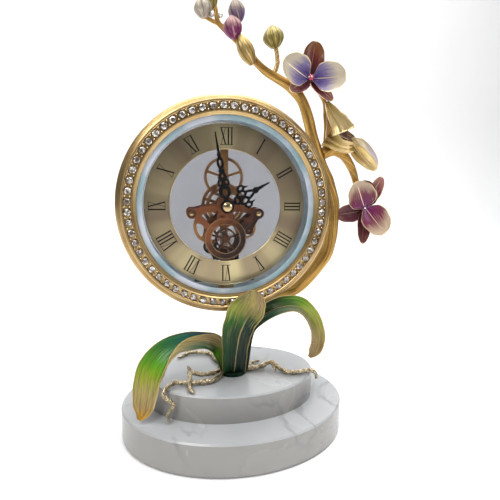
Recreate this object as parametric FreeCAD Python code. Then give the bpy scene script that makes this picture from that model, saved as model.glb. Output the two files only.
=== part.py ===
import FreeCAD, Part
import math
import os

# Skeleton clock: round glazed case with a crystal bezel, carried by an enamelled orchid
# on a two-tier oval stone base.  Millimetres, +Z up, +X to the right of the clock face,
# the face looks along -Y.  Origin: centre of the underside.

Vec = FreeCAD.Vector
AXIS_Y = Vec(0, 1, 0)

# ---------------------------------------------------------------- driving dimensions

# base
PAD_T = 1.5
LOWER_TIER = (98.0, 72.0)
LOWER_TOP = 28.0
UPPER_TIER = (75.0, 51.0)
UPPER_TIER_XY = (-2.0, 5.5)
UPPER_TOP = 51.0
TIER_EDGE = 1.2
PLATE_R = 13.0
PLATE_TOP = 54.5
BOLT_R = 3.0
BOLT_HOLE_R = 3.3
BOLT_XY = (-1.5, 0.0)

# clock face: centre of the dial and the planes of the case, front to back
DIAL_X = -8.9
DIAL_Z = 199.2
BEZEL_FRONT = -27.5
GLASS_FRONT = -24.2
GLASS_BACK = -22.2
DRUM_BACK = 20.0
REAR_BACK = 24.0
DRUM_R = 82.1
DRUM_INNER_R = 79.6
LIP_R = 70.3
GLASS_R = 71.5
OPENING_R = 69.5

# crystals
CRYSTALS = 60
CRYSTAL_RING_R = 75.8
CRYSTAL_R = 2.8
CHANNEL_IN = 72.9
CHANNEL_OUT = 78.7

# chapter ring
RING_OUT = 65.0
RING_IN = 45.0
RING_FRONT = -12.0
RING_BACK = -11.0
NUMERAL_IN = 48.5
NUMERAL_OUT = 61.5
THICK_STROKE = 1.0
THIN_STROKE = 0.35

# movement planes
BRIDGE = (-9.0, -7.5)
SPINE = (4.6, 6.2)
BACK_PLATE = (13.5, 15.0)
EAR_X = 27.6
EAR_Z = -6.2
BARREL_Z = -27.0
BARREL_OUT = 17.3
BARREL_IN = 11.8
PIVOT_R = 0.5
ARBOR_R = 0.8
RUN_CLEARANCE = 0.05

# teeth: pressure angle, tip and root heights in modules, and play at the pitch circle
PRESSURE_ANGLE = math.radians(25)
ADDENDUM = 0.8
DEDENDUM = 1.15
BACKLASH = 0.12

# tooth counts
CENTRE_T = 76
THIRD_PINION_T = 19
THIRD_T = 65
FOURTH_PINION_T = 26
FOURTH_T = 50
INTER_PINION_T = 20
INTER_T = 54
ROTOR_T = 15
SETTING_T = 38
CANNON_T = 14
MINUTE_T = 42
MINUTE_PINION_T = 13
HOUR_T = 52

# arbor places in the face plane, seen from the front: (x, z) from the dial centre
THIRD_AT = (0.0, 23.5)
INTER_CD = 21.2
INTER_ANGLE = math.radians(-123)
INTER_AT = (INTER_CD * math.cos(INTER_ANGLE), INTER_CD * math.sin(INTER_ANGLE))
ROTOR_CD = 18.7
ROTOR_ANGLE = math.radians(-89.5)
ROTOR_AT = (INTER_AT[0] + ROTOR_CD * math.cos(ROTOR_ANGLE),
            INTER_AT[1] + ROTOR_CD * math.sin(ROTOR_ANGLE))
SETTING_ANGLE = math.radians(-46)
MINUTE_AT = (0.0, -9.8)

# modules follow from the centre distances
TRAIN_M = 2 * THIRD_AT[1] / (CENTRE_T + THIRD_PINION_T)
FOURTH_M = 2 * THIRD_AT[1] / (THIRD_T + FOURTH_PINION_T)
INTER_M = 2 * INTER_CD / (FOURTH_T + INTER_PINION_T)
ROTOR_M = 2 * ROTOR_CD / (INTER_T + ROTOR_T)
SETTING_CD = TRAIN_M * (CENTRE_T + SETTING_T) / 2
SETTING_AT = (SETTING_CD * math.cos(SETTING_ANGLE), SETTING_CD * math.sin(SETTING_ANGLE))
CANNON_M = 2 * abs(MINUTE_AT[1]) / (CANNON_T + MINUTE_T)
HOUR_M = 2 * abs(MINUTE_AT[1]) / (MINUTE_PINION_T + HOUR_T)

# wheel planes
CENTRE_Y = (9.8, 11.0)
THIRD_PINION_Y = (9.3, 11.5)
THIRD_Y = (7.7, 8.6)
FOURTH_PINION_Y = (7.5, 8.8)
FOURTH_Y = (6.5, 7.3)
INTER_PINION_Y = (6.4, 7.4)
INTER_Y = (3.0, 4.0)
ROTOR_PINION_Y = (2.8, 4.2)
MAGNET_Y = (10.4, 13.2)
CANNON_Y = (-10.6, -9.2)
MINUTE_Y = (-10.4, -9.4)
MINUTE_PINION_Y = (-12.1, -10.4)
HOUR_Y = (-11.9, -11.1)

# hands
CENTRE_ARBOR_R = 1.0
CANNON_R = 1.7
HOUR_PIPE_R = 2.5
HOUR_HAND_Y = (-17.4, -16.9)
MINUTE_HAND_Y = (-19.4, -18.9)
NUT_R = 3.9
NUT_FRONT = -21.6
TIME_MINUTE_DEG = -9.7
TIME_HOUR_DEG = 60.0

# battery box, under the movement and behind the chapter ring
CELL_R = 5.25
CELL_LENGTH = 44.5
CELL_Z = -58.2
CELL_Y = 4.0
BOX_HALF_X = 25.6
BOX_Y = (-2.0, 10.0)
BOX_Z = (-64.5, -52.0)
BOX_WALL = 1.0
COVER_T = 1.2

# setting knob
KNOB_R = 6.0
KNOB_Y = (24.6, 31.0)

nodes = {}


def add(name, shape):
    nodes[name] = shape


def add_clock(name, shape):
    """Put a shape drawn round the dial centre at its place in the clock."""
    placed = shape.copy()
    placed.translate(Vec(DIAL_X, 0, DIAL_Z))
    add(name, placed)


# ---------------------------------------------------------------- solids for the clock

def polar(radius, angle):
    return (radius * math.cos(angle), radius * math.sin(angle))


def disc(radius, y_range, at=(0.0, 0.0)):
    low, high = y_range
    return Part.makeCylinder(radius, high - low, Vec(at[0], low, at[1]), AXIS_Y)


def ring(outer, inner, y_range, at=(0.0, 0.0)):
    return disc(outer, y_range, at).cut(disc(inner, y_range, at))


def prism(points, y_range):
    """Plate with a straight-sided outline of (x, z) points."""
    low, high = y_range
    corners = [Vec(x, low, z) for x, z in points]
    face = Part.Face(Part.makePolygon(corners + corners[:1]))
    return face.extrude(Vec(0, high - low, 0))


def turned(profile):
    """Solid of revolution about the dial axis from (radius, y) points."""
    corners = [Vec(r, y, 0) for r, y in profile]
    face = Part.Face(Part.makePolygon(corners + corners[:1]))
    return face.revolve(Vec(0, 0, 0), AXIS_Y, 360)


def box(x_range, y_range, z_range):
    size = [high - low for low, high in (x_range, y_range, z_range)]
    return Part.makeBox(size[0], size[1], size[2], Vec(x_range[0], y_range[0], z_range[0]))


def strip(start, end, width_start, width_end, y_range):
    """Flat tapered bar between two (x, z) points."""
    dx, dz = end[0] - start[0], end[1] - start[1]
    length = math.hypot(dx, dz)
    nx, nz = -dz / length, dx / length
    a, b = width_start / 2, width_end / 2
    return prism([(start[0] + nx * a, start[1] + nz * a), (end[0] + nx * b, end[1] + nz * b),
                  (end[0] - nx * b, end[1] - nz * b), (start[0] - nx * a, start[1] - nz * a)], y_range)


def arched_strip(start, end, rise, width, y_range, steps=8):
    """Flat bar of even width that bows sideways by rise between two points."""
    dx, dz = end[0] - start[0], end[1] - start[1]
    length = math.hypot(dx, dz)
    nx, nz = -dz / length, dx / length
    upper, lower = [], []
    for k in range(steps + 1):
        t = k / steps
        bow = rise * 4 * t * (1 - t)
        slope = math.atan2(rise * 4 * (1 - 2 * t), length)
        cx = start[0] + dx * t + nx * bow
        cz = start[1] + dz * t + nz * bow
        ox = (nx * math.cos(slope) - dx / length * math.sin(slope)) * width / 2
        oz = (nz * math.cos(slope) - dz / length * math.sin(slope)) * width / 2
        upper.append((cx + ox, cz + oz))
        lower.append((cx - ox, cz - oz))
    return prism(upper + lower[::-1], y_range)


def oval(at, half_x, half_z, y_range, tilt=0.0, sides=28):
    points = []
    for k in range(sides):
        angle = 2 * math.pi * k / sides
        x, z = half_x * math.cos(angle), half_z * math.sin(angle)
        points.append((at[0] + x * math.cos(tilt) - z * math.sin(tilt),
                       at[1] + x * math.sin(tilt) + z * math.cos(tilt)))
    return prism(points, y_range)


def fused(shapes):
    whole = shapes[0].fuse(shapes[1:]) if len(shapes) > 1 else shapes[0]
    return whole.removeSplitter()


# ---------------------------------------------------------------- gears

def involute(angle):
    return math.tan(angle) - angle


def gear_outline(teeth, module, phase):
    """Closed (x, z) outline; one tooth is centred on the direction phase."""
    pitch_r = teeth * module / 2
    base_r = pitch_r * math.cos(PRESSURE_ANGLE)
    root_r = pitch_r - DEDENDUM * module
    tip_r = pitch_r + ADDENDUM * module
    at_pitch = math.pi / (2 * teeth) - BACKLASH / (2 * pitch_r) + involute(PRESSURE_ANGLE)
    flank = [root_r, (root_r + 2 * pitch_r) / 3, pitch_r + 0.1 * module, tip_r]
    half_angles = []
    for radius in flank:
        pressure = math.acos(min(1.0, base_r / radius))
        half_angles.append(at_pitch - involute(pressure))
    points = []
    for k in range(teeth):
        middle = phase + 2 * math.pi * k / teeth
        for radius, half in zip(flank, half_angles):
            points.append(polar(radius, middle - half))
        for radius, half in zip(reversed(flank), reversed(half_angles)):
            points.append(polar(radius, middle + half))
    return points


def gear(teeth, module, phase, y_range, at=(0.0, 0.0)):
    body = prism(gear_outline(teeth, module, phase), y_range)
    body.translate(Vec(at[0], 0, at[1]))
    return body


def meshed_phase(driver_phase, driver_teeth, teeth, direction):
    """Phase of a gear lying in the given direction from its driver, teeth in mesh."""
    lag = (driver_phase - direction) * driver_teeth / teeth
    return direction + math.pi - lag + math.pi / teeth


def window(inner_r, outer_r, start, end, y_range, steps=10):
    """Opening between two spokes: a sector of a ring."""
    outer = [polar(outer_r, start + (end - start) * k / steps) for k in range(steps + 1)]
    squeeze = (end - start) * 0.16
    inner = [polar(inner_r, start + squeeze + (end - start - 2 * squeeze) * k / steps)
             for k in range(steps + 1)]
    return prism(outer + inner[::-1], y_range)


def spoked(wheel, rim_r, hub_r, spokes, spoke_w, y_range, at):
    """Cut the windows between the spokes out of a toothed disc."""
    gap = 2 * math.pi / spokes
    half = spoke_w / 2 / rim_r
    for k in range(spokes):
        start = math.pi / 2 + gap * k + half
        hole = window(hub_r, rim_r, start, start + gap - 2 * half, y_range)
        hole.translate(Vec(at[0], 0, at[1]))
        wheel = wheel.cut(hole)
    return wheel


def arbor(at, y_range):
    """Steel arbor with a thin pivot at each end for the plates."""
    low, high = y_range
    middle = disc(ARBOR_R, (low + 1.7, high - 1.7), at)
    return fused([middle, disc(PIVOT_R, (low, low + 1.7), at), disc(PIVOT_R, (high - 1.7, high), at)])


def pivot_hole(at, y_range):
    return disc(PIVOT_R + RUN_CLEARANCE, y_range, at)


# phases of the train, from the centre wheel outwards
UP = math.pi / 2
CENTRE_PHASE = 0.0
THIRD_PINION_PHASE = meshed_phase(CENTRE_PHASE, CENTRE_T, THIRD_PINION_T, UP)
THIRD_PHASE = 0.0
FOURTH_PINION_PHASE = meshed_phase(THIRD_PHASE, THIRD_T, FOURTH_PINION_T, -UP)
FOURTH_PHASE = 0.0
INTER_PINION_PHASE = meshed_phase(FOURTH_PHASE, FOURTH_T, INTER_PINION_T, INTER_ANGLE)
INTER_PHASE = 0.0
ROTOR_PHASE = meshed_phase(INTER_PHASE, INTER_T, ROTOR_T, ROTOR_ANGLE)
SETTING_PHASE = meshed_phase(CENTRE_PHASE, CENTRE_T, SETTING_T, SETTING_ANGLE)
CANNON_PHASE = 0.0
MINUTE_PHASE = meshed_phase(CANNON_PHASE, CANNON_T, MINUTE_T, -UP)
MINUTE_PINION_PHASE = 0.0
HOUR_PHASE = meshed_phase(MINUTE_PINION_PHASE, MINUTE_PINION_T, HOUR_T, UP)


# ---------------------------------------------------------------- skinned solids for the plant

def skin(rings):
    """Closed solid through rings of equal point count; point j faces point n-1-j across."""
    count = len(rings[0])
    points = [p for section in rings for p in section]
    facets = []
    for i in range(len(rings) - 1):
        for j in range(count):
            a = i * count + j
            b = i * count + (j + 1) % count
            facets.append((a, b, b + count))
            facets.append((a, b + count, a + count))
    last = (len(rings) - 1) * count
    for j in range(count // 2 - 1):
        p, q, r, s = j, j + 1, count - 2 - j, count - 1 - j
        facets.append((p, r, q))
        facets.append((p, s, r))
        facets.append((last + p, last + q, last + r))
        facets.append((last + p, last + r, last + s))
    shape = Part.Shape()
    shape.makeShapeFromMesh((points, facets), 0.0005)
    solid = Part.makeSolid(shape)
    if solid.Volume < 0:
        solid.reverse()
    return solid


def smooth(values, steps):
    """Catmull-Rom curve through tuples of numbers, steps stretches per span."""
    padded = [values[0]] + list(values) + [values[-1]]
    result = []
    for i in range(1, len(padded) - 2):
        p0, p1, p2, p3 = padded[i - 1:i + 3]
        for k in range(steps):
            t = k / steps
            result.append(tuple(
                0.5 * (2 * b + (c - a) * t + (2 * a - 5 * b + 4 * c - d) * t * t
                       + (3 * b - a - 3 * c + d) * t ** 3)
                for a, b, c, d in zip(p0, p1, p2, p3)))
    result.append(tuple(values[-1]))
    return result


def tangents(points):
    result = []
    for i in range(len(points)):
        step = points[min(i + 1, len(points) - 1)].sub(points[max(i - 1, 0)])
        result.append(step.normalize())
    return result


def tube(stations, steps=3, sides=8):
    """Round limb through (x, y, z, radius) stations."""
    dense = smooth(stations, steps)
    centres = [Vec(*station[:3]) for station in dense]
    along = tangents(centres)
    side = along[0].cross(Vec(0.3, 1, 0.2)).normalize()
    rings = []
    for centre, tangent, station in zip(centres, along, dense):
        side = side.sub(tangent * side.dot(tangent)).normalize()
        other = tangent.cross(side)
        rings.append([centre + side * (station[3] * math.cos(a)) + other * (station[3] * math.sin(a))
                      for a in (2 * math.pi * (k + 0.5) / sides for k in range(sides))])
    return skin(rings)


def blade(stations, thickness, cup, steps=3, across=4):
    """Leaf or petal through (x, y, z, width, facing x, y, z) stations; cup bows it forward."""
    dense = smooth(stations, steps)
    centres = [Vec(*station[:3]) for station in dense]
    along = tangents(centres)
    rings = []
    for centre, tangent, station in zip(centres, along, dense):
        facing = Vec(*station[4:7])
        side = tangent.cross(facing).normalize()
        normal = side.cross(tangent).normalize()
        front, back = [], []
        for k in range(across + 1):
            s = 2 * k / across - 1
            edge = side * (s * station[3] / 2)
            bow = cup * station[3] * s * s
            half = thickness * (0.5 - 0.2 * s * s)
            front.append(centre + edge + normal * (bow + half))
            back.append(centre + edge + normal * (bow - half))
        rings.append(front + back[::-1])
    return skin(rings)


# ---------------------------------------------------------------- base

def oval_tier(half_axes, low, high, centre, edge):
    """Oval stone slab with a slightly eased upper rim."""
    def outline(shrink, z):
        oval_line = Part.Ellipse(Vec(centre[0], centre[1], z), half_axes[0] - shrink, half_axes[1] - shrink)
        return Part.Wire(oval_line.toShape())

    slab = Part.Face(outline(0, low)).extrude(Vec(0, 0, high - low - edge))
    rim = Part.makeLoft([outline(0, high - edge), outline(edge, high)], True)
    return slab.fuse(rim)


def upright(radius, low, high, centre):
    return Part.makeCylinder(radius, high - low, Vec(centre[0], centre[1], low))


def hexagon(across_flats, low, high, centre):
    r = across_flats / math.sqrt(3)
    corners = [Vec(centre[0] + r * math.cos(k * math.pi / 3), centre[1] + r * math.sin(k * math.pi / 3), low)
               for k in range(6)]
    face = Part.Face(Part.makePolygon(corners + corners[:1]))
    return face.extrude(Vec(0, 0, high - low))


def make_base():
    recess_r = 9.0
    recess_top = 12.0
    washer_t = 1.5
    head_t = 5.0
    pad = oval_tier((LOWER_TIER[0] - 3, LOWER_TIER[1] - 3), 0, PAD_T, (0, 0), 0.3)
    add("felt_pad", pad)
    lower = oval_tier(LOWER_TIER, PAD_T, LOWER_TOP, (0, 0), TIER_EDGE)
    lower = lower.cut(upright(recess_r, PAD_T, recess_top, BOLT_XY))
    add("base_lower_tier", lower.cut(upright(BOLT_HOLE_R, PAD_T, LOWER_TOP, BOLT_XY)))
    upper = oval_tier(UPPER_TIER, LOWER_TOP, UPPER_TOP, UPPER_TIER_XY, TIER_EDGE)
    add("base_upper_tier", upper.cut(upright(BOLT_HOLE_R, LOWER_TOP, UPPER_TOP, BOLT_XY)))
    head = hexagon(10.0, recess_top - washer_t - head_t, recess_top - washer_t, BOLT_XY)
    washer = upright(8.0, recess_top - washer_t, recess_top, BOLT_XY)
    shank = upright(BOLT_R, recess_top, PLATE_TOP - 1.0, BOLT_XY)
    add("base_bolt", fused([head, washer, shank]))
    plate = upright(PLATE_R, UPPER_TOP, PLATE_TOP, BOLT_XY)
    add("root_plate", plate.cut(upright(BOLT_R, UPPER_TOP, PLATE_TOP - 1.0, BOLT_XY)))


# ---------------------------------------------------------------- case

def make_case():
    bezel = turned([
        (OPENING_R, GLASS_FRONT), (OPENING_R, -25.0), (70.6, -25.4), (70.6, -25.9), (71.7, -26.3),
        (71.7, -26.9), (72.2, BEZEL_FRONT), (72.7, BEZEL_FRONT), (CHANNEL_IN, -27.1),
        (CHANNEL_IN, -24.4), (CHANNEL_OUT, -24.4), (CHANNEL_OUT, -27.1), (79.1, BEZEL_FRONT),
        (80.2, BEZEL_FRONT), (80.6, -26.9), (80.6, -25.9), (81.9, -25.3), (81.9, -24.6), (83.2, -23.9),
        (83.2, -23.1), (84.5, -22.2), (84.5, -21.2), (85.3, -20.5), (85.3, -18.5), (84.4, -17.6),
        (DRUM_R, -17.6), (DRUM_R, GLASS_BACK), (GLASS_R, GLASS_BACK), (GLASS_R, GLASS_FRONT)])
    add_clock("front_bezel", bezel)
    add_clock("bezel_crystals", Part.makeCompound([crystal(k) for k in range(CRYSTALS)]))
    glass = turned([(0, GLASS_FRONT), (GLASS_R, GLASS_FRONT), (GLASS_R, GLASS_BACK), (0, GLASS_BACK)])
    add_clock("front_glass", glass)
    lip_t = 2.0
    drum = turned([
        (LIP_R, GLASS_BACK), (DRUM_R, GLASS_BACK), (DRUM_R, DRUM_BACK), (LIP_R, DRUM_BACK),
        (LIP_R, DRUM_BACK - lip_t), (DRUM_INNER_R, DRUM_BACK - lip_t),
        (DRUM_INNER_R, GLASS_BACK + lip_t), (LIP_R, GLASS_BACK + lip_t)])
    add_clock("case_drum", drum)
    make_rear()


def crystal(index):
    """Round cut stone seated in the bezel channel, pointed side inwards."""
    girdle = CRYSTAL_R
    profile = [(0, -24.4), (0.6, -24.4), (girdle, -26.4), (girdle, -26.7), (1.6, -27.9), (0, -27.9)]
    stone = turned(profile)
    x, z = polar(CRYSTAL_RING_R, math.pi / 2 - 2 * math.pi * (index + 0.5) / CRYSTALS)
    stone.translate(Vec(x, 0, z))
    return stone


def make_rear():
    rear_r = 84.0
    glass_r = 74.0
    glass_back = DRUM_BACK + 1.5
    rear = turned([
        (LIP_R, glass_back), (glass_r, glass_back), (glass_r, DRUM_BACK), (rear_r - 1, DRUM_BACK),
        (rear_r, DRUM_BACK + 1), (rear_r, REAR_BACK - 1.5), (rear_r - 1.5, REAR_BACK),
        (LIP_R + 1.5, REAR_BACK), (LIP_R, REAR_BACK - 1.5)])
    add_clock("rear_ring", rear)
    glass = disc(glass_r, (DRUM_BACK, glass_back))
    window_margin = 1.6
    glass = glass.cut(box((-BOX_HALF_X - window_margin, BOX_HALF_X + window_margin),
                          (DRUM_BACK, glass_back), (BOX_Z[0] - window_margin, BOX_Z[1] + window_margin)))
    add_clock("rear_glass", glass.cut(disc(4.0, (DRUM_BACK, glass_back), SETTING_AT)))


# ---------------------------------------------------------------- chapter ring and numerals

def make_dial():
    bead = 1.2
    plate = turned([
        (RING_IN, RING_BACK), (RING_IN, RING_FRONT - 0.3), (RING_IN + 0.3, RING_FRONT - 0.5),
        (RING_IN + bead, RING_FRONT - 0.5), (RING_IN + bead + 0.3, RING_FRONT),
        (RING_OUT - 0.5, RING_FRONT), (RING_OUT, RING_FRONT + 0.3), (RING_OUT, RING_BACK)])
    add_clock("chapter_ring", plate)
    texts = ["I", "II", "III", "IIII", "V", "VI", "VII", "VIII", "IX", "X", "XI", "XII"]
    numerals = [numeral(text, math.radians(30 * (k + 1))) for k, text in enumerate(texts)]
    add_clock("hour_numerals", Part.makeCompound(numerals))


def numeral(text, clockwise):
    """Roman numeral standing radially on the chapter ring, with joined serifs."""
    face = (RING_FRONT - 0.25, RING_FRONT)
    widths = {"I": 2.7, "V": 5.4, "X": 5.4}
    low, high = NUMERAL_IN, NUMERAL_OUT
    total = sum(widths[c] for c in text)
    x = -total / 2
    strokes = []
    for c in text:
        w = widths[c]
        middle = x + w / 2
        if c == "I":
            strokes.append(strip((middle, low), (middle, high), THICK_STROKE, THICK_STROKE, face))
        if c == "V":
            strokes.append(strip((x + 0.9, high), (middle, low), THICK_STROKE, THICK_STROKE, face))
            strokes.append(strip((x + w - 0.9, high), (middle, low), THIN_STROKE, THIN_STROKE, face))
        if c == "X":
            strokes.append(strip((x + 0.9, high), (x + w - 0.9, low), THICK_STROKE, THICK_STROKE, face))
            strokes.append(strip((x + w - 0.9, high), (x + 0.9, low), THIN_STROKE, THIN_STROKE, face))
        x += w
    serif = 0.4
    for z in (low, high):
        strokes.append(strip((-total / 2 + 0.3, z), (total / 2 - 0.3, z), serif, serif, face))
    shape = fused(strokes)
    shape.rotate(Vec(0, 0, 0), AXIS_Y, math.degrees(clockwise))
    return shape


# ---------------------------------------------------------------- plates and frame

def frame_outline(y_range):
    """Two ears on arms, a hub and the large ring below, as one flat plate."""
    ear_r = 4.3
    hub_r = 7.4
    parts = [disc(hub_r, y_range), ring(BARREL_OUT, BARREL_IN, y_range, (0, BARREL_Z))]
    for side in (-1, 1):
        ear = (side * EAR_X, EAR_Z)
        parts.append(disc(ear_r, y_range, ear))
        parts.append(arched_strip((side * 3.0, -2.0), ear, side * 1.6, 5.6, y_range))
        foot = (side * 12.5, BARREL_Z + 7.5)
        parts.append(arched_strip(ear, foot, side * -1.0, 4.8, y_range))
    parts.append(strip((0, -4), (0, BARREL_Z + BARREL_IN + 1.5), 9.0, 9.0, y_range))
    parts.append(disc(3.4, y_range, SETTING_AT))
    parts.append(strip(SETTING_AT, (EAR_X, EAR_Z), 4.0, 4.0, y_range))
    return fused(parts)


def ear_places():
    return [(-EAR_X, EAR_Z), (EAR_X, EAR_Z)]


def pillar_places():
    """The lowest pillar is riveted to the front bridge and takes a screw at the back only."""
    return ear_places() + [(4.0, BARREL_Z - 14.2)]


SCREW_R = 1.0
PILLAR_R = 2.2


def make_frame():
    arbor_r = CENTRE_ARBOR_R + RUN_CLEARANCE
    front = frame_outline(BRIDGE)
    for at in ear_places():
        front = front.cut(disc(SCREW_R, BRIDGE, at))
    front = front.cut(disc(arbor_r, BRIDGE))
    for at in (INTER_AT, ROTOR_AT, SETTING_AT):
        front = front.cut(pivot_hole(at, BRIDGE))
    stud = disc(0.7, (-12.3, BRIDGE[0]), MINUTE_AT)
    add_clock("front_bridge", fused([front, stud]))

    back = fused([frame_outline(BACK_PLATE), strip((0, 0), THIRD_AT, 8.0, 6.0, BACK_PLATE),
                  disc(3.6, BACK_PLATE, THIRD_AT)])
    for at in pillar_places():
        back = back.cut(disc(SCREW_R, BACK_PLATE, at))
    back = back.cut(disc(arbor_r, BACK_PLATE))
    for at in (THIRD_AT, INTER_AT, ROTOR_AT):
        back = back.cut(pivot_hole(at, BACK_PLATE))
    add_clock("back_plate", back.cut(disc(ARBOR_R + RUN_CLEARANCE, BACK_PLATE, SETTING_AT)))

    pillars = []
    for at in pillar_places():
        post = disc(PILLAR_R, (BRIDGE[1], BACK_PLATE[0]), at)
        bore_from = BRIDGE[1] if at in ear_places() else BRIDGE[1] + 2.0
        pillars.append(post.cut(disc(SCREW_R, (bore_from, BACK_PLATE[0]), at)))
    add_clock("plate_pillars", Part.makeCompound(pillars))
    add_clock("plate_screws", Part.makeCompound(plate_screws()))
    make_spine()
    make_barrel()


def plate_screws():
    """Slotted domed screws into both ends of every pillar, but none in front of the riveted one."""
    places = [(at, BACK_PLATE[1], 1) for at in pillar_places()]
    places += [(at, BRIDGE[0], -1) for at in ear_places()]
    return [domed_screw(at, face, outward) for at, face, outward in places]


def domed_screw(at, face, outward):
    head_r, rim_t, dome_t, shank, slot_d = 2.2, 0.5, 1.5, 6.0, 0.45
    head = turned([(0, face), (head_r, face), (head_r, face + outward * rim_t),
                   (head_r * 0.72, face + outward * (rim_t + 0.65)), (0, face + outward * dome_t)])
    head.translate(Vec(at[0], 0, at[1]))
    thread = sorted((face, face - outward * shank))
    slot = sorted((face + outward * (dome_t - slot_d), face + outward * (dome_t + 0.1)))
    slot_box = box((at[0] - head_r, at[0] + head_r), slot, (at[1] - 0.25, at[1] + 0.25))
    return fused([head, disc(SCREW_R, thread, at)]).cut(slot_box)


def make_spine():
    """Upright bar behind the wheels: holds the chapter ring, the plates and the battery box."""
    width = 6.6
    post_at = (0.0, 55.0)
    parts = [strip((0, BOX_Z[1] + 0.6), (0, 61.0), width, width, SPINE),
             box((-7.0, 7.0), (BOX_Y[0], BOX_Y[1]), (BOX_Z[1], BOX_Z[1] + 1.2)),
             disc(3.2, (RING_BACK, SPINE[0]), post_at)]
    for side in (-1, 1):
        parts.append(arched_strip((0, -2.0), (side * EAR_X, EAR_Z), side * 1.6, 4.4, SPINE))
        parts.append(disc(3.6, SPINE, (side * EAR_X, EAR_Z)))
    spine = fused(parts)
    for at in pillar_places():
        spine = spine.cut(disc(PILLAR_R, SPINE, at))
    spine = spine.cut(disc(CENTRE_ARBOR_R + RUN_CLEARANCE, SPINE))
    spine = spine.cut(disc(ARBOR_R + RUN_CLEARANCE, SPINE, THIRD_AT))
    add_clock("spine_bar", spine.cut(pivot_hole(THIRD_AT, SPINE)))


def make_barrel():
    """Open barrel wheel fixed in the ring of the bridge, and the coiled spring behind it."""
    y_range = (BRIDGE[0] + 0.2, BRIDGE[1])
    centre = (0.0, BARREL_Z)
    parts = [ring(8.8, 7.2, y_range, centre), disc(3.6, y_range, centre)]
    for k in range(5):
        angle = math.radians(20 + 72 * k)
        inner = (polar(2.0, angle)[0], BARREL_Z + polar(2.0, angle)[1])
        outer = (polar(BARREL_IN, angle)[0], BARREL_Z + polar(BARREL_IN, angle)[1])
        parts.append(strip(inner, outer, 1.7, 1.5, y_range))
    wheel = fused(parts).common(disc(BARREL_IN, y_range, centre))
    hub = disc(2.9, (BRIDGE[0] - 1.0, -3.2), centre)
    add_clock("barrel_wheel", fused([wheel, hub]))
    turns, start_r, pitch, thick = 3.5, 2.9, 1.6, 0.35
    steps = 84
    outer, inner = [], []
    for k in range(steps + 1):
        angle = 2 * math.pi * turns * k / steps
        radius = start_r + pitch * turns * k / steps
        outer.append((polar(radius + thick, angle)[0], BARREL_Z + polar(radius + thick, angle)[1]))
        inner.append((polar(radius, angle)[0], BARREL_Z + polar(radius, angle)[1]))
    spring = prism(outer + inner[::-1], (-6.8, -3.6))
    add_clock("barrel_spring", spring.cut(disc(2.9, (-6.8, -3.6), centre)))


# ---------------------------------------------------------------- wheels

def hole(radius, y_range, at=(0.0, 0.0)):
    return disc(radius + RUN_CLEARANCE, y_range, at)


def make_train():
    end = (BRIDGE[0] + 0.1, BACK_PLATE[1] - 0.1)
    centre = spoked(gear(CENTRE_T, TRAIN_M, CENTRE_PHASE, CENTRE_Y), 16.0, 4.2, 5, 2.6, CENTRE_Y, (0, 0))
    staff = disc(CENTRE_ARBOR_R, (-20.4, end[1]))
    add_clock("centre_wheel", fused([centre, staff, disc(2.4, (9.2, 11.6))]))

    third = spoked(gear(THIRD_T, FOURTH_M, THIRD_PHASE, THIRD_Y, THIRD_AT), 14.3, 3.4, 5, 2.4,
                   THIRD_Y, THIRD_AT)
    pinion = gear(THIRD_PINION_T, TRAIN_M, THIRD_PINION_PHASE, THIRD_PINION_Y, THIRD_AT)
    staff = arbor(THIRD_AT, (SPINE[0] + 0.1, end[1]))
    add_clock("third_wheel", fused([third, pinion, staff, disc(2.0, (7.0, 9.3), THIRD_AT)]))

    fourth = spoked(gear(FOURTH_T, INTER_M, FOURTH_PHASE, FOURTH_Y), 12.3, 7.6, 4, 2.0, FOURTH_Y, (0, 0))
    pinion = gear(FOURTH_PINION_T, FOURTH_M, FOURTH_PINION_PHASE, FOURTH_PINION_Y)
    sleeve = disc(2.6, (FOURTH_Y[0], 9.0))
    add_clock("fourth_wheel", fused([fourth, pinion, sleeve]).cut(hole(CENTRE_ARBOR_R, (6, 9.5))))

    inter = spoked(gear(INTER_T, ROTOR_M, INTER_PHASE, INTER_Y, INTER_AT), 11.8, 3.0, 5, 2.2,
                   INTER_Y, INTER_AT)
    pinion = gear(INTER_PINION_T, INTER_M, INTER_PINION_PHASE, INTER_PINION_Y, INTER_AT)
    add_clock("intermediate_wheel", fused([inter, pinion, arbor(INTER_AT, end),
                                           disc(1.6, (2.4, 6.4), INTER_AT)]))

    setting = spoked(gear(SETTING_T, TRAIN_M, SETTING_PHASE, CENTRE_Y, SETTING_AT), 7.6, 2.6, 4, 1.6,
                     CENTRE_Y, SETTING_AT)
    stem = fused([disc(PIVOT_R, (end[0], end[0] + 1.7), SETTING_AT),
                  disc(ARBOR_R, (end[0] + 1.7, KNOB_Y[0]), SETTING_AT)])
    add_clock("setting_wheel", fused([setting, stem, disc(1.8, (9.2, 11.6), SETTING_AT)]))
    add_clock("setting_knob", setting_knob())


def setting_knob():
    """Knurled brass knob with a short collar towards the case."""
    knob = disc(KNOB_R, KNOB_Y, SETTING_AT)
    for k in range(24):
        x, z = polar(KNOB_R + 0.15, 2 * math.pi * k / 24)
        knob = knob.cut(disc(0.45, KNOB_Y, (SETTING_AT[0] + x, SETTING_AT[1] + z)))
    collar_y = (16.0, KNOB_Y[0])
    collar = disc(2.2, collar_y, SETTING_AT)
    collar = collar.cut(disc(ARBOR_R, collar_y, SETTING_AT))
    return fused([knob, collar])


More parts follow.
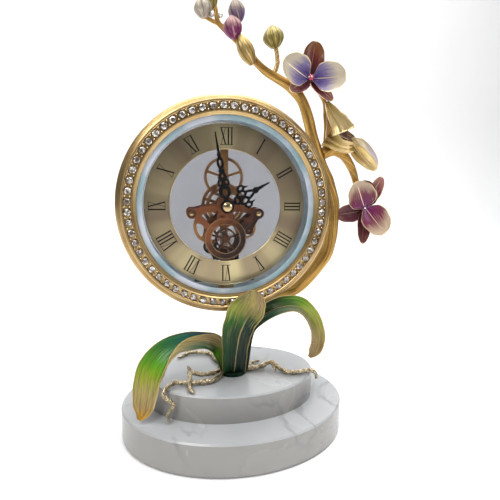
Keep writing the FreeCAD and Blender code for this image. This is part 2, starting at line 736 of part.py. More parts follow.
def make_motion_work():
    cannon = fused([gear(CANNON_T, CANNON_M, CANNON_PHASE, CANNON_Y), disc(CANNON_R, (-19.4, -10.6))])
    add_clock("cannon_pinion", cannon.cut(disc(CENTRE_ARBOR_R, (-19.4, -9.0))))
    minute = gear(MINUTE_T, CANNON_M, MINUTE_PHASE, MINUTE_Y, MINUTE_AT)
    minute = spoked(minute, 5.9, 2.6, 4, 1.2, MINUTE_Y, MINUTE_AT)
    pinion = gear(MINUTE_PINION_T, HOUR_M, MINUTE_PINION_PHASE, MINUTE_PINION_Y, MINUTE_AT)
    add_clock("minute_wheel", fused([minute, pinion]).cut(hole(0.7, (-12.3, -9.2), MINUTE_AT)))
    hour = fused([gear(HOUR_T, HOUR_M, HOUR_PHASE, HOUR_Y), disc(HOUR_PIPE_R, (-17.4, -10.8))])
    add_clock("hour_wheel", hour.cut(hole(CANNON_R, (-17.6, -10.6))))


# ---------------------------------------------------------------- hands

def pierced(outers, holes, bore, y_range):
    """Hand blade: rings and bars joined, openings cut through."""
    plate = fused(outers)
    for opening in holes:
        plate = plate.cut(opening)
    return plate.cut(disc(bore, y_range))


def hour_hand():
    y = HOUR_HAND_Y
    outers = [disc(5.2, y), strip((0, 3), (0, 8.5), 4.6, 2.6, y), oval((0, 9.6), 3.7, 3.0, y)]
    holes = [oval((0, 9.6), 1.7, 1.1, y)]
    for side in (-1, 1):
        outers.append(oval((side * 2.8, 14.9), 3.1, 4.5, y, side * 0.12))
        holes.append(oval((side * 3.0, 14.9), 1.3, 2.3, y, side * 0.12))
        outers.append(oval((side * 6.9, 16.2), 2.8, 3.6, y, side * -0.25))
        holes.append(oval((side * 7.2, 16.2), 1.1, 1.6, y, side * -0.25))
        outers.append(strip((side * 6.9, 18.2), (side * 6.2, 22.4), 2.4, 0.5, y))
        outers.append(strip((side * 8.2, 16.0), (side * 10.4, 14.0), 1.9, 0.5, y))
        outers.append(arched_strip((side * 3.0, 18.2), (0, 25.2), side * -0.7, 2.0, y))
    outers += [oval((0, 26.6), 2.5, 2.7, y), strip((0, 28), (0, 32.0), 2.4, 2.6, y),
               strip((0, 32.0), (0, 39.2), 2.3, 1.1, y)]
    return pierced(outers, holes, HOUR_PIPE_R, y)


def minute_hand():
    y = MINUTE_HAND_Y
    outers = [disc(5.4, y), strip((0, 3), (0, 8.5), 4.4, 2.4, y), oval((0, 12.2), 4.7, 5.7, y),
              oval((0, 24.3), 3.0, 3.5, y), oval((0, 28.4), 2.6, 1.9, y), oval((0, 34.2), 2.8, 5.3, y),
              oval((0, 40.6), 1.7, 1.7, y), strip((0, 41), (0, 58.0), 2.2, 0.8, y)]
    holes = [oval((0, 11.4), 2.1, 2.7, y), oval((0, 24.3), 0.8, 1.1, y), oval((0, 34.2), 0.8, 2.3, y)]
    for side in (-1, 1):
        outers.append(oval((side * 2.3, 19.2), 2.5, 3.4, y, side * 0.2))
        holes.append(oval((side * 2.5, 19.2), 0.8, 1.3, y, side * 0.2))
        outers.append(strip((side * 2.4, 22.4), (side * 4.2, 24.0), 1.4, 0.4, y))
    return pierced(outers, holes, CANNON_R, y)


def make_hands():
    for name, shape, degrees in (("hour_hand", hour_hand(), TIME_HOUR_DEG),
                                 ("minute_hand", minute_hand(), TIME_MINUTE_DEG)):
        shape.rotate(Vec(0, 0, 0), AXIS_Y, degrees)
        add_clock(name, shape)
    back = MINUTE_HAND_Y[0]
    nut = turned([(0, back), (NUT_R - 0.2, back), (NUT_R, back - 0.3), (NUT_R, back - 0.9),
                  (NUT_R - 0.5, back - 1.5), (2.3, back - 2.0), (0, NUT_FRONT)])
    add_clock("hand_nut", nut.cut(disc(CENTRE_ARBOR_R, (-20.4, back))))


# ---------------------------------------------------------------- motor and battery

def make_motor():
    """Stepping motor: magnet rotor with pinion, stator plate round it and coil on its core."""
    end = (BRIDGE[0] + 0.1, BACK_PLATE[1] - 0.1)
    rotor = fused([gear(ROTOR_T, ROTOR_M, ROTOR_PHASE, ROTOR_PINION_Y, ROTOR_AT),
                   disc(3.2, MAGNET_Y, ROTOR_AT), arbor(ROTOR_AT, end)])
    add_clock("motor_rotor", rotor)
    plane = (10.4, 11.6)
    core_z = BARREL_Z - 20.2
    core = (-6.0, 14.0)
    stator = fused([disc(6.0, plane, ROTOR_AT),
                    strip(ROTOR_AT, (core[0], core_z), 5.0, 5.0, plane),
                    box(core, plane, (core_z - 1.2, core_z + 1.2)),
                    disc(1.2, (plane[1], BACK_PLATE[0]), (-7.5, BARREL_Z - 14.0)),
                    box((core[1] - 2.4, core[1]), plane, (core_z - 1.2, core_z + 3.0))])
    stator = stator.cut(disc(3.8, plane, ROTOR_AT))
    add_clock("motor_stator", stator)
    coil_x = (-2.0, 10.0)
    coil = Part.makeCylinder(2.4, coil_x[1] - coil_x[0], Vec(coil_x[0], sum(plane) / 2, core_z), Vec(1, 0, 0))
    coil = coil.cut(box(coil_x, plane, (core_z - 1.2, core_z + 1.2)))
    add_clock("motor_coil", coil)


def make_battery():
    outer = box((-BOX_HALF_X, BOX_HALF_X), BOX_Y, BOX_Z)
    half_cell = CELL_LENGTH / 2 + 2.0
    room = box((-half_cell, half_cell), (BOX_Y[0] + BOX_WALL - 0.4, BOX_Y[1]),
               (BOX_Z[0] + 0.7, BOX_Z[1] - 0.7))
    add_clock("battery_box", outer.cut(room))
    cell = Part.makeCylinder(CELL_R, CELL_LENGTH - 1, Vec(-CELL_LENGTH / 2, CELL_Y, CELL_Z), Vec(1, 0, 0))
    tip = Part.makeCylinder(1.9, 1.0, Vec(CELL_LENGTH / 2 - 1, CELL_Y, CELL_Z), Vec(1, 0, 0))
    add_clock("battery", fused([cell, tip]))
    contacts = [box((CELL_LENGTH / 2, half_cell), (CELL_Y - 3, CELL_Y + 3), (CELL_Z - 4, CELL_Z + 4)),
                box((-half_cell, -CELL_LENGTH / 2), (CELL_Y - 3, CELL_Y + 3), (CELL_Z - 4, CELL_Z + 4))]
    add_clock("battery_contacts", Part.makeCompound(contacts))
    cover_y = (BOX_Y[1] + 0.05, BOX_Y[1] + 0.05 + COVER_T)
    cover = box((-BOX_HALF_X, BOX_HALF_X), cover_y, BOX_Z)
    grip_y = (cover_y[1], cover_y[1] + 0.8)
    ribs = [box((x, x + 1.0), grip_y, (BOX_Z[0] + 3, BOX_Z[1] - 3)) for x in (-4.5, -1.5, 1.5, 4.5)]
    add_clock("battery_cover", fused([cover] + ribs))
    make_dial_foot()


def make_dial_foot():
    """Block on the floor of the case under the battery box, with a tab to the chapter ring."""
    wall = DRUM_INNER_R
    block = box((-6.5, 6.5), (RING_BACK, 8.0), (-wall - 1, BOX_Z[0]))
    block = block.common(disc(wall, (RING_BACK, 8.0)))
    tab = box((-6.5, 6.5), (RING_BACK, BOX_Y[0]), (BOX_Z[0] - 1, -61.0))
    add_clock("dial_foot", fused([block, tab]))


# ---------------------------------------------------------------- orchid

def case_envelope():
    """Space the case takes up, a little larger than the metal, to keep the plant clear of it."""
    body = turned([(0, -28.2), (80.8, -28.2), (85.6, -21), (85.6, -17.4), (DRUM_R, -17.4),
                   (DRUM_R, DRUM_BACK - 0.2), (84.3, DRUM_BACK - 0.2), (84.3, REAR_BACK + 0.3),
                   (0, REAR_BACK + 0.3)])
    body.translate(Vec(DIAL_X, 0, DIAL_Z))
    return body


STEM = [
    (6.0, 3.0, PLATE_TOP, 6.0), (6.0, 3.5, 74.0, 5.6), (7.5, 4.0, 95.0, 5.6), (17.0, 4.0, 110.0, 5.8),
    (34.0, 4.0, 120.5, 6.2), (54.3, 3.0, 124.5, 5.8), (67.1, 1.0, 136.1, 5.7), (76.8, 0.0, 148.4, 5.7),
    (83.5, 0.0, 160.6, 5.7), (86.6, 0.0, 176.5, 5.6), (86.8, 0.0, 199.0, 5.5), (81.0, 0.0, 219.5, 5.4),
    (75.0, 0.0, 232.5, 5.0), (66.8, 0.0, 252.3, 4.7), (61.6, 1.0, 271.6, 4.6), (55.6, 3.0, 287.5, 4.4),
    (46.5, 4.0, 297.0, 4.1), (35.5, 5.0, 303.5, 3.9), (24.0, 5.0, 309.5, 3.4), (12.5, 5.0, 319.5, 3.0),
    (4.5, 5.0, 327.5, 2.9), (-3.0, 5.0, 333.5, 2.5), (-10.0, 5.0, 338.8, 2.2), (-14.6, 5.0, 343.6, 2.0),
    (-16.1, 5.0, 352.7, 1.7), (-18.6, 5.0, 358.5, 1.4)]
# short twigs from the stem to the silver and the cream bud, and the stalk of the gold bud
SILVER_TWIG = [(-12.5, 5.0, 341.5, 1.6), (-18.0, 5.0, 343.2, 1.5), (-24.5, 4.3, 346.0, 1.6)]
CREAM_TWIG = [(-4.0, 6.0, 334.5, 1.5), (0.0, 7.5, 339.0, 1.5), (2.2, 6.2, 347.0, 1.5)]
GOLD_BUD_STALK = [(31.5, 5.0, 305.5, 1.9), (35.0, 5.5, 316.0, 1.8), (33.4, 6.0, 328.5, 2.0)]

UPPER_STALK = [
    (75.0, 0.5, 240.5, 3.2), (77.3, 0.0, 250.0, 2.3), (76.9, -0.5, 262.0, 1.7), (76.0, -0.5, 275.0, 1.7),
    (75.0, -0.5, 285.0, 1.8), (70.0, -0.5, 293.0, 2.0), (61.5, -1.0, 301.0, 2.3)]

LOWER_STALK = [
    (76.0, 1.0, 243.0, 4.3), (85.0, 0.0, 246.5, 4.5), (93.5, 0.0, 243.5, 4.5), (100.0, 1.0, 236.5, 3.9),
    (104.8, 2.0, 229.0, 3.3), (108.5, 3.0, 220.0, 2.9), (112.5, 3.5, 208.0, 2.7), (114.8, 2.0, 199.0, 2.6)]

CENTRAL_LEAF = [
    (-1.2, -7.0, PLATE_TOP, 19.5, 0, -1, 0), (-1.6, -13.0, 73.0, 21.5, 0, -1, 0.3),
    (-1.2, -20.5, 94.5, 24.0, 0, -1, 0.35), (2.2, -28.0, 111.0, 27.0, 0, -1, 0.35),
    (6.8, -33.0, 122.0, 27.0, 0, -1, 0.3), (9.0, -35.0, 130.0, 20.5, 0, -1, 0.2),
    (9.6, -36.0, 135.2, 6.0, 0, -1, 0.2)]

RIGHT_LEAF = [
    (8.0, -4.6, PLATE_TOP, 7.0, 0.1, -1, 0), (8.5, -7.0, 72.0, 9.0, 0.1, -1, 0.2),
    (9.5, -10.5, 88.0, 10.5, 0, -1, 0.3), (13.0, -13.5, 98.6, 12.0, -0.1, -1, 0.5),
    (21.0, -17.5, 107.8, 13.5, -0.1, -0.9, 0.6), (34.0, -20.5, 115.2, 14.8, -0.1, -0.8, 0.8),
    (45.5, -22.0, 117.6, 15.4, 0.1, -0.8, 0.8), (54.0, -23.2, 115.2, 15.4, 0.3, -0.8, 0.7),
    (60.8, -24.8, 108.2, 15.0, 0.5, -0.8, 0.4), (65.2, -26.3, 99.0, 14.8, 0.5, -0.9, 0.2),
    (66.6, -27.8, 90.5, 14.4, 0.4, -1, 0.1), (65.4, -29.0, 83.0, 13.0, 0.3, -1, 0.1),
    (63.0, -29.6, 78.0, 10.0, 0.2, -1, 0.1), (59.6, -30.0, 73.8, 2.5, 0.2, -1, 0)]

LEFT_LEAF = [
    (-8.0, -3.6, PLATE_TOP, 8.0, -0.3, -1, 0), (-9.0, -6.0, 65.0, 12.0, -0.3, -1, 0.1),
    (-12.0, -9.5, 76.0, 16.5, -0.2, -1, 0.2), (-18.5, -12.0, 83.0, 15.5, -0.1, -0.9, 0.4),
    (-28.0, -14.5, 86.8, 13.8, 0, -0.9, 0.5), (-41.5, -17.0, 87.6, 15.6, 0, -0.9, 0.5),
    (-53.5, -19.8, 85.6, 17.0, -0.1, -0.9, 0.5), (-64.0, -23.0, 78.0, 20.5, -0.2, -0.9, 0.4),
    (-70.6, -26.5, 67.5, 22.5, -0.3, -1, 0.2), (-73.7, -28.8, 57.5, 21.5, -0.2, -1, 0.1),
    (-75.6, -30.5, 47.0, 18.5, -0.1, -1, 0.1), (-77.2, -32.0, 38.0, 13.0, 0, -1, 0.1),
    (-80.5, -33.0, 31.3, 3.0, 0, -1, 0.1)]

TWIG_Z = UPPER_TOP + 2.3
LEFT_ROOT = [
    (-11.5, -8.5, TWIG_Z, 2.5), (-19.2, -19.0, TWIG_Z + 0.4, 2.3), (-26.5, -21.5, TWIG_Z, 2.3),
    (-35.7, -22.0, TWIG_Z + 0.2, 2.1), (-43.0, -21.8, TWIG_Z + 0.4, 2.1), (-51.6, -20.6, TWIG_Z + 0.8, 2.1),
    (-56.2, -25.6, TWIG_Z + 1.0, 1.9), (-60.5, -32.5, TWIG_Z + 0.8, 1.9), (-60.8, -34.8, 50.5, 1.8),
    (-55.0, -36.6, 45.8, 1.9), (-53.2, -37.2, 42.8, 1.7), (-57.6, -37.6, 37.0, 1.5), (-57.0, -38.0, 30.3, 1.1)]
CROSSING_ROOT = [
    (-11.7, -1.6, TWIG_Z, 2.3), (-19.0, -8.6, TWIG_Z + 1.2, 2.1), (-28.0, -12.8, TWIG_Z + 2.4, 2.0),
    (-36.8, -12.6, TWIG_Z + 4.4, 2.0), (-40.0, -12.4, TWIG_Z + 5.2, 2.0), (-39.7, -20.0, TWIG_Z + 4.8, 1.9),
    (-40.8, -27.9, TWIG_Z + 1.8, 1.8), (-39.4, -33.8, TWIG_Z + 0.2, 1.7), (-36.8, -37.2, TWIG_Z - 0.8, 1.0)]
CROSSING_SPUR = [(-38.6, -11.6, TWIG_Z + 5.0, 1.8), (-41.2, -8.4, TWIG_Z + 8.4, 1.1)]
BACK_ROOT = [
    (-9.5, 13.0, TWIG_Z, 2.1), (-15.6, 24.2, TWIG_Z, 2.1), (-17.0, 33.5, TWIG_Z - 0.2, 2.0),
    (-24.7, 37.6, TWIG_Z, 1.8), (-37.0, 39.5, TWIG_Z, 1.7), (-43.6, 35.5, TWIG_Z - 0.4, 1.6),
    (-49.8, 31.0, TWIG_Z - 0.8, 1.0)]
RIGHT_ROOT = [
    (9.5, -1.2, TWIG_Z, 2.6), (17.4, -2.4, TWIG_Z + 0.4, 2.4), (25.7, -0.8, TWIG_Z + 1.0, 2.3),
    (30.2, 1.2, TWIG_Z + 2.2, 2.1), (34.2, 0.8, TWIG_Z + 3.2, 2.1), (37.6, -3.0, TWIG_Z + 2.4, 2.1),
    (41.0, -8.0, TWIG_Z + 0.6, 2.0), (46.2, -14.6, TWIG_Z + 0.2, 2.1), (55.4, -15.2, TWIG_Z, 2.0),
    (66.5, -14.6, TWIG_Z + 0.4, 1.9), (70.4, -17.4, TWIG_Z - 0.6, 1.7), (71.3, -19.6, TWIG_Z - 5.4, 1.1)]
RIGHT_SPURS = [
    [(34.6, 0.4, TWIG_Z + 2.6, 1.7), (36.0, -4.6, TWIG_Z + 1.2, 1.5), (36.3, -9.2, TWIG_Z - 0.4, 0.9)],
    [(14.0, 1.0, TWIG_Z + 0.3, 1.9), (18.0, 8.6, TWIG_Z + 0.4, 1.7), (25.5, 12.5, TWIG_Z - 0.4, 1.1)]]


def make_plant():
    envelope = case_envelope()
    plate = nodes["root_plate"]
    twigs = [tube(SILVER_TWIG, 2, 8), tube(CREAM_TWIG, 2, 8)]
    stem = fused([tube(STEM)] + twigs).cut(plate)
    add("orchid_stem", stem.cut(envelope))
    add("upper_flower_stalk", tube(UPPER_STALK).cut(stem))
    add("lower_flower_stalk", tube(LOWER_STALK).cut(stem).cut(nodes["upper_flower_stalk"]))
    for name, stations in (("central_leaf", CENTRAL_LEAF), ("right_leaf", RIGHT_LEAF),
                           ("left_leaf", LEFT_LEAF)):
        leaf = blade(stations, 1.8, 0.10)
        add(name, leaf.cut(envelope).cut(stem).cut(plate))
    add("right_leaf", nodes["right_leaf"].cut(nodes["central_leaf"]))
    add("left_leaf", nodes["left_leaf"].cut(nodes["central_leaf"]))
    crossing = fused([tube(CROSSING_ROOT, 2, 6), tube(CROSSING_SPUR, 1, 6)])
    roots = [tube(LEFT_ROOT, 2, 6), crossing, tube(BACK_ROOT, 2, 6)]
    taken = [plate] + [nodes[name] for name in ("base_upper_tier", "base_lower_tier", "orchid_stem",
                                                "central_leaf", "left_leaf", "right_leaf")]
    add("left_roots", trimmed(roots, taken))
    right = fused([tube(RIGHT_ROOT, 2, 6)] + [tube(spur, 2, 6) for spur in RIGHT_SPURS])
    add("right_root", trimmed([right], taken + [nodes["left_roots"]]))


# ---------------------------------------------------------------- flowers and buds

def petal(root, tip, width, facing, lift, thickness=1.3, cup=0.13):
    """Rounded petal from root to tip; lift curls the far half towards the facing side."""
    start, end = Vec(*root), Vec(*tip)
    forward = Vec(*facing).normalize()
    shares = [(0.0, 0.16), (0.16, 0.55), (0.36, 0.90), (0.58, 1.0), (0.80, 0.80), (0.94, 0.42), (1.0, 0.12)]
    stations = []
    for t, share in shares:
        centre = start + (end - start) * t + forward * (lift * t * t)
        stations.append((centre.x, centre.y, centre.z, width * share, forward.x, forward.y, forward.z))
    return blade(stations, thickness, cup, 2)


def bud(base, tip, radius):
    """Egg-shaped closed bud between two points."""
    start, end = Vec(*base), Vec(*tip)
    shares = [(0.0, 0.35), (0.12, 0.70), (0.3, 0.95), (0.48, 1.0), (0.68, 0.86), (0.86, 0.52), (1.0, 0.10)]
    stations = []
    for t, share in shares:
        centre = start + (end - start) * t
        stations.append((centre.x, centre.y, centre.z, radius * share))
    return tube(stations, 2, 10)


# petals as (root, tip, width, facing, lift)
UPPER_PETALS = [
    ((58.5, -4.5, 302.0), (35.5, -7.5, 314.0), 24.0, (-0.1, -1, 0.1), 3.0),
    ((62.0, -4.5, 302.4), (88.9, -7.0, 305.0), 23.5, (0.15, -1, 0.05), 3.0)]
UPPER_SEPALS = [
    ((60.0, -1.2, 303.5), (64.6, -1.0, 332.0), 19.0, (0, -1, 0.1), 1.0),
    ((60.5, -2.2, 303.5), (43.5, -3.0, 292.8), 13.5, (0, -1, 0), 1.0),
    ((60.0, -2.6, 303.5), (80.3, -3.0, 286.4), 10.0, (0, -1, 0), 1.0)]
LOWER_PETALS = [
    ((115.0, -3.4, 197.0), (104.0, -6.0, 221.0), 25.0, (-0.2, -1, 0.1), 2.0),
    ((114.2, -4.0, 198.6), (132.8, -8.0, 175.4), 25.5, (0.2, -1, -0.1), 2.0)]
LOWER_SEPALS = [
    ((115.4, -1.0, 196.5), (113.0, -2.6, 222.0), 22.0, (0, -1, 0.2), 1.0),
    ((119.5, 0.8, 202.0), (130.0, -0.5, 225.4), 13.0, (0.1, -1, 0.1), 1.0),
    ((114.0, -0.6, 195.0), (88.0, -2.0, 191.4), 16.5, (0, -1, 0), 1.0),
    ((115.0, -1.6, 197.0), (114.6, -3.0, 165.8), 12.5, (0, -1, 0), 1.0)]
HANGING_PETALS = [
    ((96.5, -6.0, 250.5), (121.0, -8.0, 230.6), 12.0, (-0.1, -1, -0.1), 1.0),
    ((99.5, -3.2, 257.0), (122.8, -4.2, 232.4), 16.0, (0.35, -0.85, 0.3), 1.0)]
HOOD = [
    (75.5, -1.6, 285.4, 3.0, 0.1, -1, 0.2), (78.3, -3.6, 279.8, 9.0, 0.1, -1, 0.25),
    (81.5, -5.2, 273.5, 14.0, 0.1, -1, 0.3), (86.0, -6.4, 267.0, 18.5, 0.1, -1, 0.25),
    (88.8, -6.9, 260.6, 21.5, 0, -1, 0.1)]
CUP_BODY = [
    (76.6, -3.4, 257.0, 17.0, 0, -1, 0), (82.5, -5.0, 253.0, 13.5, 0, -1, 0.1),
    (89.5, -5.8, 249.8, 10.5, 0, -1, 0.1), (96.0, -5.6, 249.0, 10.0, 0, -1, 0.1),
    (102.0, -5.0, 250.0, 6.0, 0, -1, 0.1)]
SIDE_BODY = [
    (77.0, -1.5, 283.0, 2.0, 0, -1, 0), (79.0, -2.5, 275.0, 6.0, 0, -1, 0),
    (80.5, -3.0, 266.0, 9.0, 0, -1, 0), (80.5, -3.0, 258.0, 10.0, 0, -1, 0),
    (79.0, -3.0, 250.0, 6.0, 0, -1, 0)]
THROAT = [
    (79.5, -2.2, 261.8, 5.0, 0, -1, 0.1), (86.5, -0.8, 260.0, 12.0, 0, -1, 0.1),
    (93.5, -0.8, 257.0, 15.0, 0, -1, 0.1), (101.0, -2.4, 254.0, 10.0, 0, -1, 0.1)]


def make_flowers():
    stalks = [nodes["orchid_stem"], nodes["upper_flower_stalk"], nodes["lower_flower_stalk"]]
    for flower, petals, sepals in (("upper", UPPER_PETALS, UPPER_SEPALS), ("lower", LOWER_PETALS, LOWER_SEPALS)):
        fronts = [petal(*values) for values in petals]
        backs = [petal(*values) for values in sepals]
        add(flower + "_flower_petals", trimmed(fronts, stalks))
        add(flower + "_flower_sepals", trimmed(backs, stalks + fronts))
    make_middle_flower(stalks)
    make_buds(stalks)


def trimmed(solids, others):
    """Each solid cut back from the others and from those before it in the list."""
    result = []
    for solid in solids:
        for other in others + result:
            if solid.BoundBox.intersect(other.BoundBox):
                solid = solid.cut(other)
        biggest = max(solid.Solids, key=lambda piece: piece.Volume)
        result.append(biggest)
    return Part.makeCompound(result) if len(result) > 1 else result[0]


def make_middle_flower(stalks):
    """Half-open gilt flower: hood above, side joining it to the cup, dark throat and two hanging petals."""
    hood = trimmed([blade(HOOD, 1.4, 0.10, 3)], stalks)
    add("middle_flower_hood", hood)
    cup = blade(CUP_BODY, 1.6, 0.08, 3)
    side = blade(SIDE_BODY, 1.4, 0.08, 3)
    throat = blade(THROAT, 1.2, -0.05, 3)
    hanging = [petal(*values) for values in HANGING_PETALS]
    add("middle_flower_petals", trimmed([cup, side, throat] + hanging, stalks + [hood]))


def make_buds(stalks):
    calyx = bud((13.5, 1.0, 312.0), (1.0, 0.0, 334.5), 6.3)
    add("bud_calyx", trimmed([calyx, tube(GOLD_BUD_STALK, 2, 8)], stalks))
    taken = stalks + [nodes["bud_calyx"]]
    for name, base, tip, radius in (
            ("gold_bud", (32.9, 6.0, 327.5), (29.2, 6.0, 344.2), 8.4),
            ("pink_bud", (-2.0, 0.0, 330.2), (-4.4, 0.0, 346.8), 7.5),
            ("cream_bud", (2.5, 6.0, 344.5), (-1.0, 6.0, 361.5), 6.6),
            ("silver_bud", (-25.0, 4.0, 344.6), (-27.0, 4.0, 360.0), 7.0),
            ("tip_bud", (-18.5, 6.0, 352.0), (-23.5, 6.0, 371.5), 6.4)):
        add(name, trimmed([bud(base, tip, radius)], taken))
        taken.append(nodes[name])


# ---------------------------------------------------------------- build and export

def build():
    make_base()
    make_case()
    make_dial()
    make_frame()
    make_train()
    make_motion_work()
    make_hands()
    make_motor()
    make_battery()
    make_plant()
    make_flowers()
    os.makedirs("parts", exist_ok=True)
    for name, shape in nodes.items():
        shape.exportStep("parts/" + name + ".step")
    print(len(nodes), "nodes")


build()
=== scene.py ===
import math

import bpy
from mathutils import Matrix, Vector


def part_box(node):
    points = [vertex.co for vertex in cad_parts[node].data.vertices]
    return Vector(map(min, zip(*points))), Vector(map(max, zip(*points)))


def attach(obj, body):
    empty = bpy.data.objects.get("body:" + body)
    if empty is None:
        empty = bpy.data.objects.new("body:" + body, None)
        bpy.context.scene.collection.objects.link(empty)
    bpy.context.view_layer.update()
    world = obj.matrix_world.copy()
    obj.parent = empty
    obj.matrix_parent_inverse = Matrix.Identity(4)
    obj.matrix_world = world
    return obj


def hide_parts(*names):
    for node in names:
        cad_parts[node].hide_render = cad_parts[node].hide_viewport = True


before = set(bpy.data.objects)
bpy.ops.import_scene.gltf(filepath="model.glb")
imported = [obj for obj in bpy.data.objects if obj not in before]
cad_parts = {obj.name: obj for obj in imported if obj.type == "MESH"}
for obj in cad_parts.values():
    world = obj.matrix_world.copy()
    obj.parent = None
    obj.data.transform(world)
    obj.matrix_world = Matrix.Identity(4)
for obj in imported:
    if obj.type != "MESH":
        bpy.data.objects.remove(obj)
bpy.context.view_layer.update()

MM = 0.001
BODY = "case_and_base"

# dial centre and case planes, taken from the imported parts
ring_low, ring_high = (Vector(corner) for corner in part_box("chapter_ring"))
glass_low, glass_high = (Vector(corner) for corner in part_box("front_glass"))
stone_low, stone_high = (Vector(corner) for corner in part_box("bezel_crystals"))
DIAL_X = (ring_low.x + ring_high.x) / 2
DIAL_Z = (ring_low.z + ring_high.z) / 2

# stones of the bezel, each turned a little further than the last, and the beads that hold them
STONES = 60
STONE_RING = 75.8 * MM
STONE_R = 2.8 * MM
STONE_SIDES = 8
STONE_TURN = 0.37
CLAW_OFFSET = 1.95 * MM
CLAW_DEPTH = 1.0 * MM
CLAW_R = 0.72 * MM

# ears and barrel ring of the front bridge, measured from the dial centre
EAR_ACROSS = 27.6 * MM
EAR_UP = -6.2 * MM
EAR_RADIUS = 4.3 * MM
BARREL_UP = -27.0 * MM
BARREL_OUTER = 17.3 * MM
BARREL_INNER = 11.8 * MM

# bevel of the front pane and grooves of the bezel
BEVEL_START = 65.2 * MM
BEVEL_DROP = 0.9 * MM
PANE_HOLE = 0.2 * MM
GROOVE_PITCH = 1.9 * MM

# camera: its place, sensor and lens in millimetres, and how it is turned in degrees
EYE = (-47.5, -336.4, 218.0)
EYE_TURN = 10.23
EYE_DOWN = 9.46
EYE_ROLL = 0.83
SENSOR = 36.0
LENS = 28.915

# relief of leaves and petals: heights, and widths as shares of the half width (crease: of the width)
CREASE = 0.9 * MM
CREASE_WIDTH = 0.07
LEAF_RIM = 0.5 * MM
LEAF_RIM_WIDTH = 0.1
LEAF_RIB = 0.12 * MM
LEAF_RIBS = 9
MIDRIB = 0.3 * MM
MIDRIB_WIDTH = 0.06
PETAL_RIM = 0.35 * MM
PETAL_RIM_WIDTH = 0.12

# studio sweep, in metres
FLOOR_GAP = 0.2 * MM
SWEEP_HALF = 2.6
SWEEP_FRONT = -3.0
SWEEP_BACK = 1.1
SWEEP_BEND = 0.5
SWEEP_TOP = 2.4


# ---------------------------------------------------------------- node helper

class Nodes:
    """Short calls for building one procedural material."""

    def __init__(self, name):
        self.material = bpy.data.materials.new(name)
        self.material.use_nodes = True
        self.tree = self.material.node_tree
        self.bsdf = self.tree.nodes["Principled BSDF"]

    def put(self, socket, value):
        if hasattr(value, "is_linked"):
            self.tree.links.new(value, socket)
        else:
            socket.default_value = value

    def node(self, kind, **values):
        """New node with these inputs set or linked."""
        node = self.tree.nodes.new(kind)
        for name, value in values.items():
            self.put(node.inputs[name], value)
        return node

    def math(self, operation, first, second=0.0):
        node = self.node("ShaderNodeMath")
        node.operation = operation
        self.put(node.inputs[0], first)
        self.put(node.inputs[1], second)
        return node.outputs[0]

    def times(self, first, second):
        return self.math("MULTIPLY", first, second)

    def plus(self, first, second):
        return self.math("ADD", first, second)

    def minus(self, first, second):
        return self.math("SUBTRACT", first, second)

    def larger(self, first, second):
        return self.math("MAXIMUM", first, second)

    def gap(self, first, second):
        """Difference without its sign."""
        return self.math("ABSOLUTE", self.minus(first, second))

    def invert(self, value):
        return self.minus(1.0, value)

    def linear(self, value, slope, start):
        return self.plus(self.times(value, slope), start)

    def swing(self, noise, width):
        """Noise moved so that it swings evenly about 0."""
        return self.times(self.minus(noise, 0.5), width)

    def spot(self, value, low, high):
        """0 below low, 1 above high, smooth between."""
        node = self.node("ShaderNodeMapRange")
        node.interpolation_type = "SMOOTHSTEP"
        for socket, number in zip(node.inputs, (value, low, high)):
            self.put(socket, number)
        return node.outputs[0]

    def mix(self, share, first, second):
        node = self.node("ShaderNodeMix")
        node.data_type = "RGBA"
        self.put(node.inputs[0], share)
        self.put(node.inputs[6], rgba(first))
        self.put(node.inputs[7], rgba(second))
        return node.outputs[2]

    def ramp(self, value, stops):
        """Colour read off between (place, colour) stops."""
        node = self.node("ShaderNodeValToRGB", Fac=value)
        elements = node.color_ramp.elements
        while len(elements) < len(stops):
            elements.new(0.5)
        for element, (place, colour) in zip(elements, stops):
            element.position = place
            element.color = rgba(colour)
        return node.outputs[0]

    def graph(self, value, points):
        """Number read off straight lines between (place, height) points."""
        greys = [(place, (height, height, height)) for place, height in points]
        return self.xyz(self.ramp(value, greys))[0]

    def place(self):
        """Position on the object, in metres."""
        return self.node("ShaderNodeTexCoord").outputs["Object"]

    def normal(self):
        return self.node("ShaderNodeNewGeometry").outputs["Normal"]

    def uv(self):
        """(across, along) of a surface built with uv coordinates."""
        across, along, _ = self.xyz(self.node("ShaderNodeTexCoord").outputs["UV"])
        return across, along

    def xyz(self, vector):
        return self.node("ShaderNodeSeparateXYZ", Vector=vector).outputs

    def join(self, x, y, z=0.0):
        return self.node("ShaderNodeCombineXYZ", X=x, Y=y, Z=z).outputs[0]

    def noise(self, vector, scale, detail, distortion=0.0):
        node = self.node("ShaderNodeTexNoise", Vector=vector, Scale=scale, Detail=detail,
                         Distortion=distortion)
        return node.outputs[0]

    def cells(self, vector, scale):
        """(distance, colour) of cells of random shape."""
        node = self.node("ShaderNodeTexVoronoi", Vector=vector, Scale=scale)
        return node.outputs["Distance"], node.outputs["Color"]

    def bump(self, height, distance, strength=1.0):
        node = self.node("ShaderNodeBump", Height=height, Distance=distance, Strength=strength)
        self.put(self.bsdf.inputs["Normal"], node.outputs[0])

    def set(self, **values):
        for name, value in values.items():
            socket = self.bsdf.inputs[name.replace("_", " ")]
            self.put(socket, rgba(value) if isinstance(value, tuple) else value)
        return self.material


def rgba(colour):
    if isinstance(colour, tuple) and len(colour) == 3:
        return (*colour, 1.0)
    return colour


# ---------------------------------------------------------------- materials

GOLD = (0.66, 0.48, 0.25)
PALE_GOLD = (0.78, 0.63, 0.38)
TARNISH = (0.3, 0.16, 0.06)


def distance_from(n, x, z, centre_x, centre_z):
    """Distance from a line through the clock, front to back."""
    dx = n.minus(x, centre_x)
    dz = n.minus(z, centre_z)
    return n.math("SQRT", n.plus(n.times(dx, dx), n.times(dz, dz)))


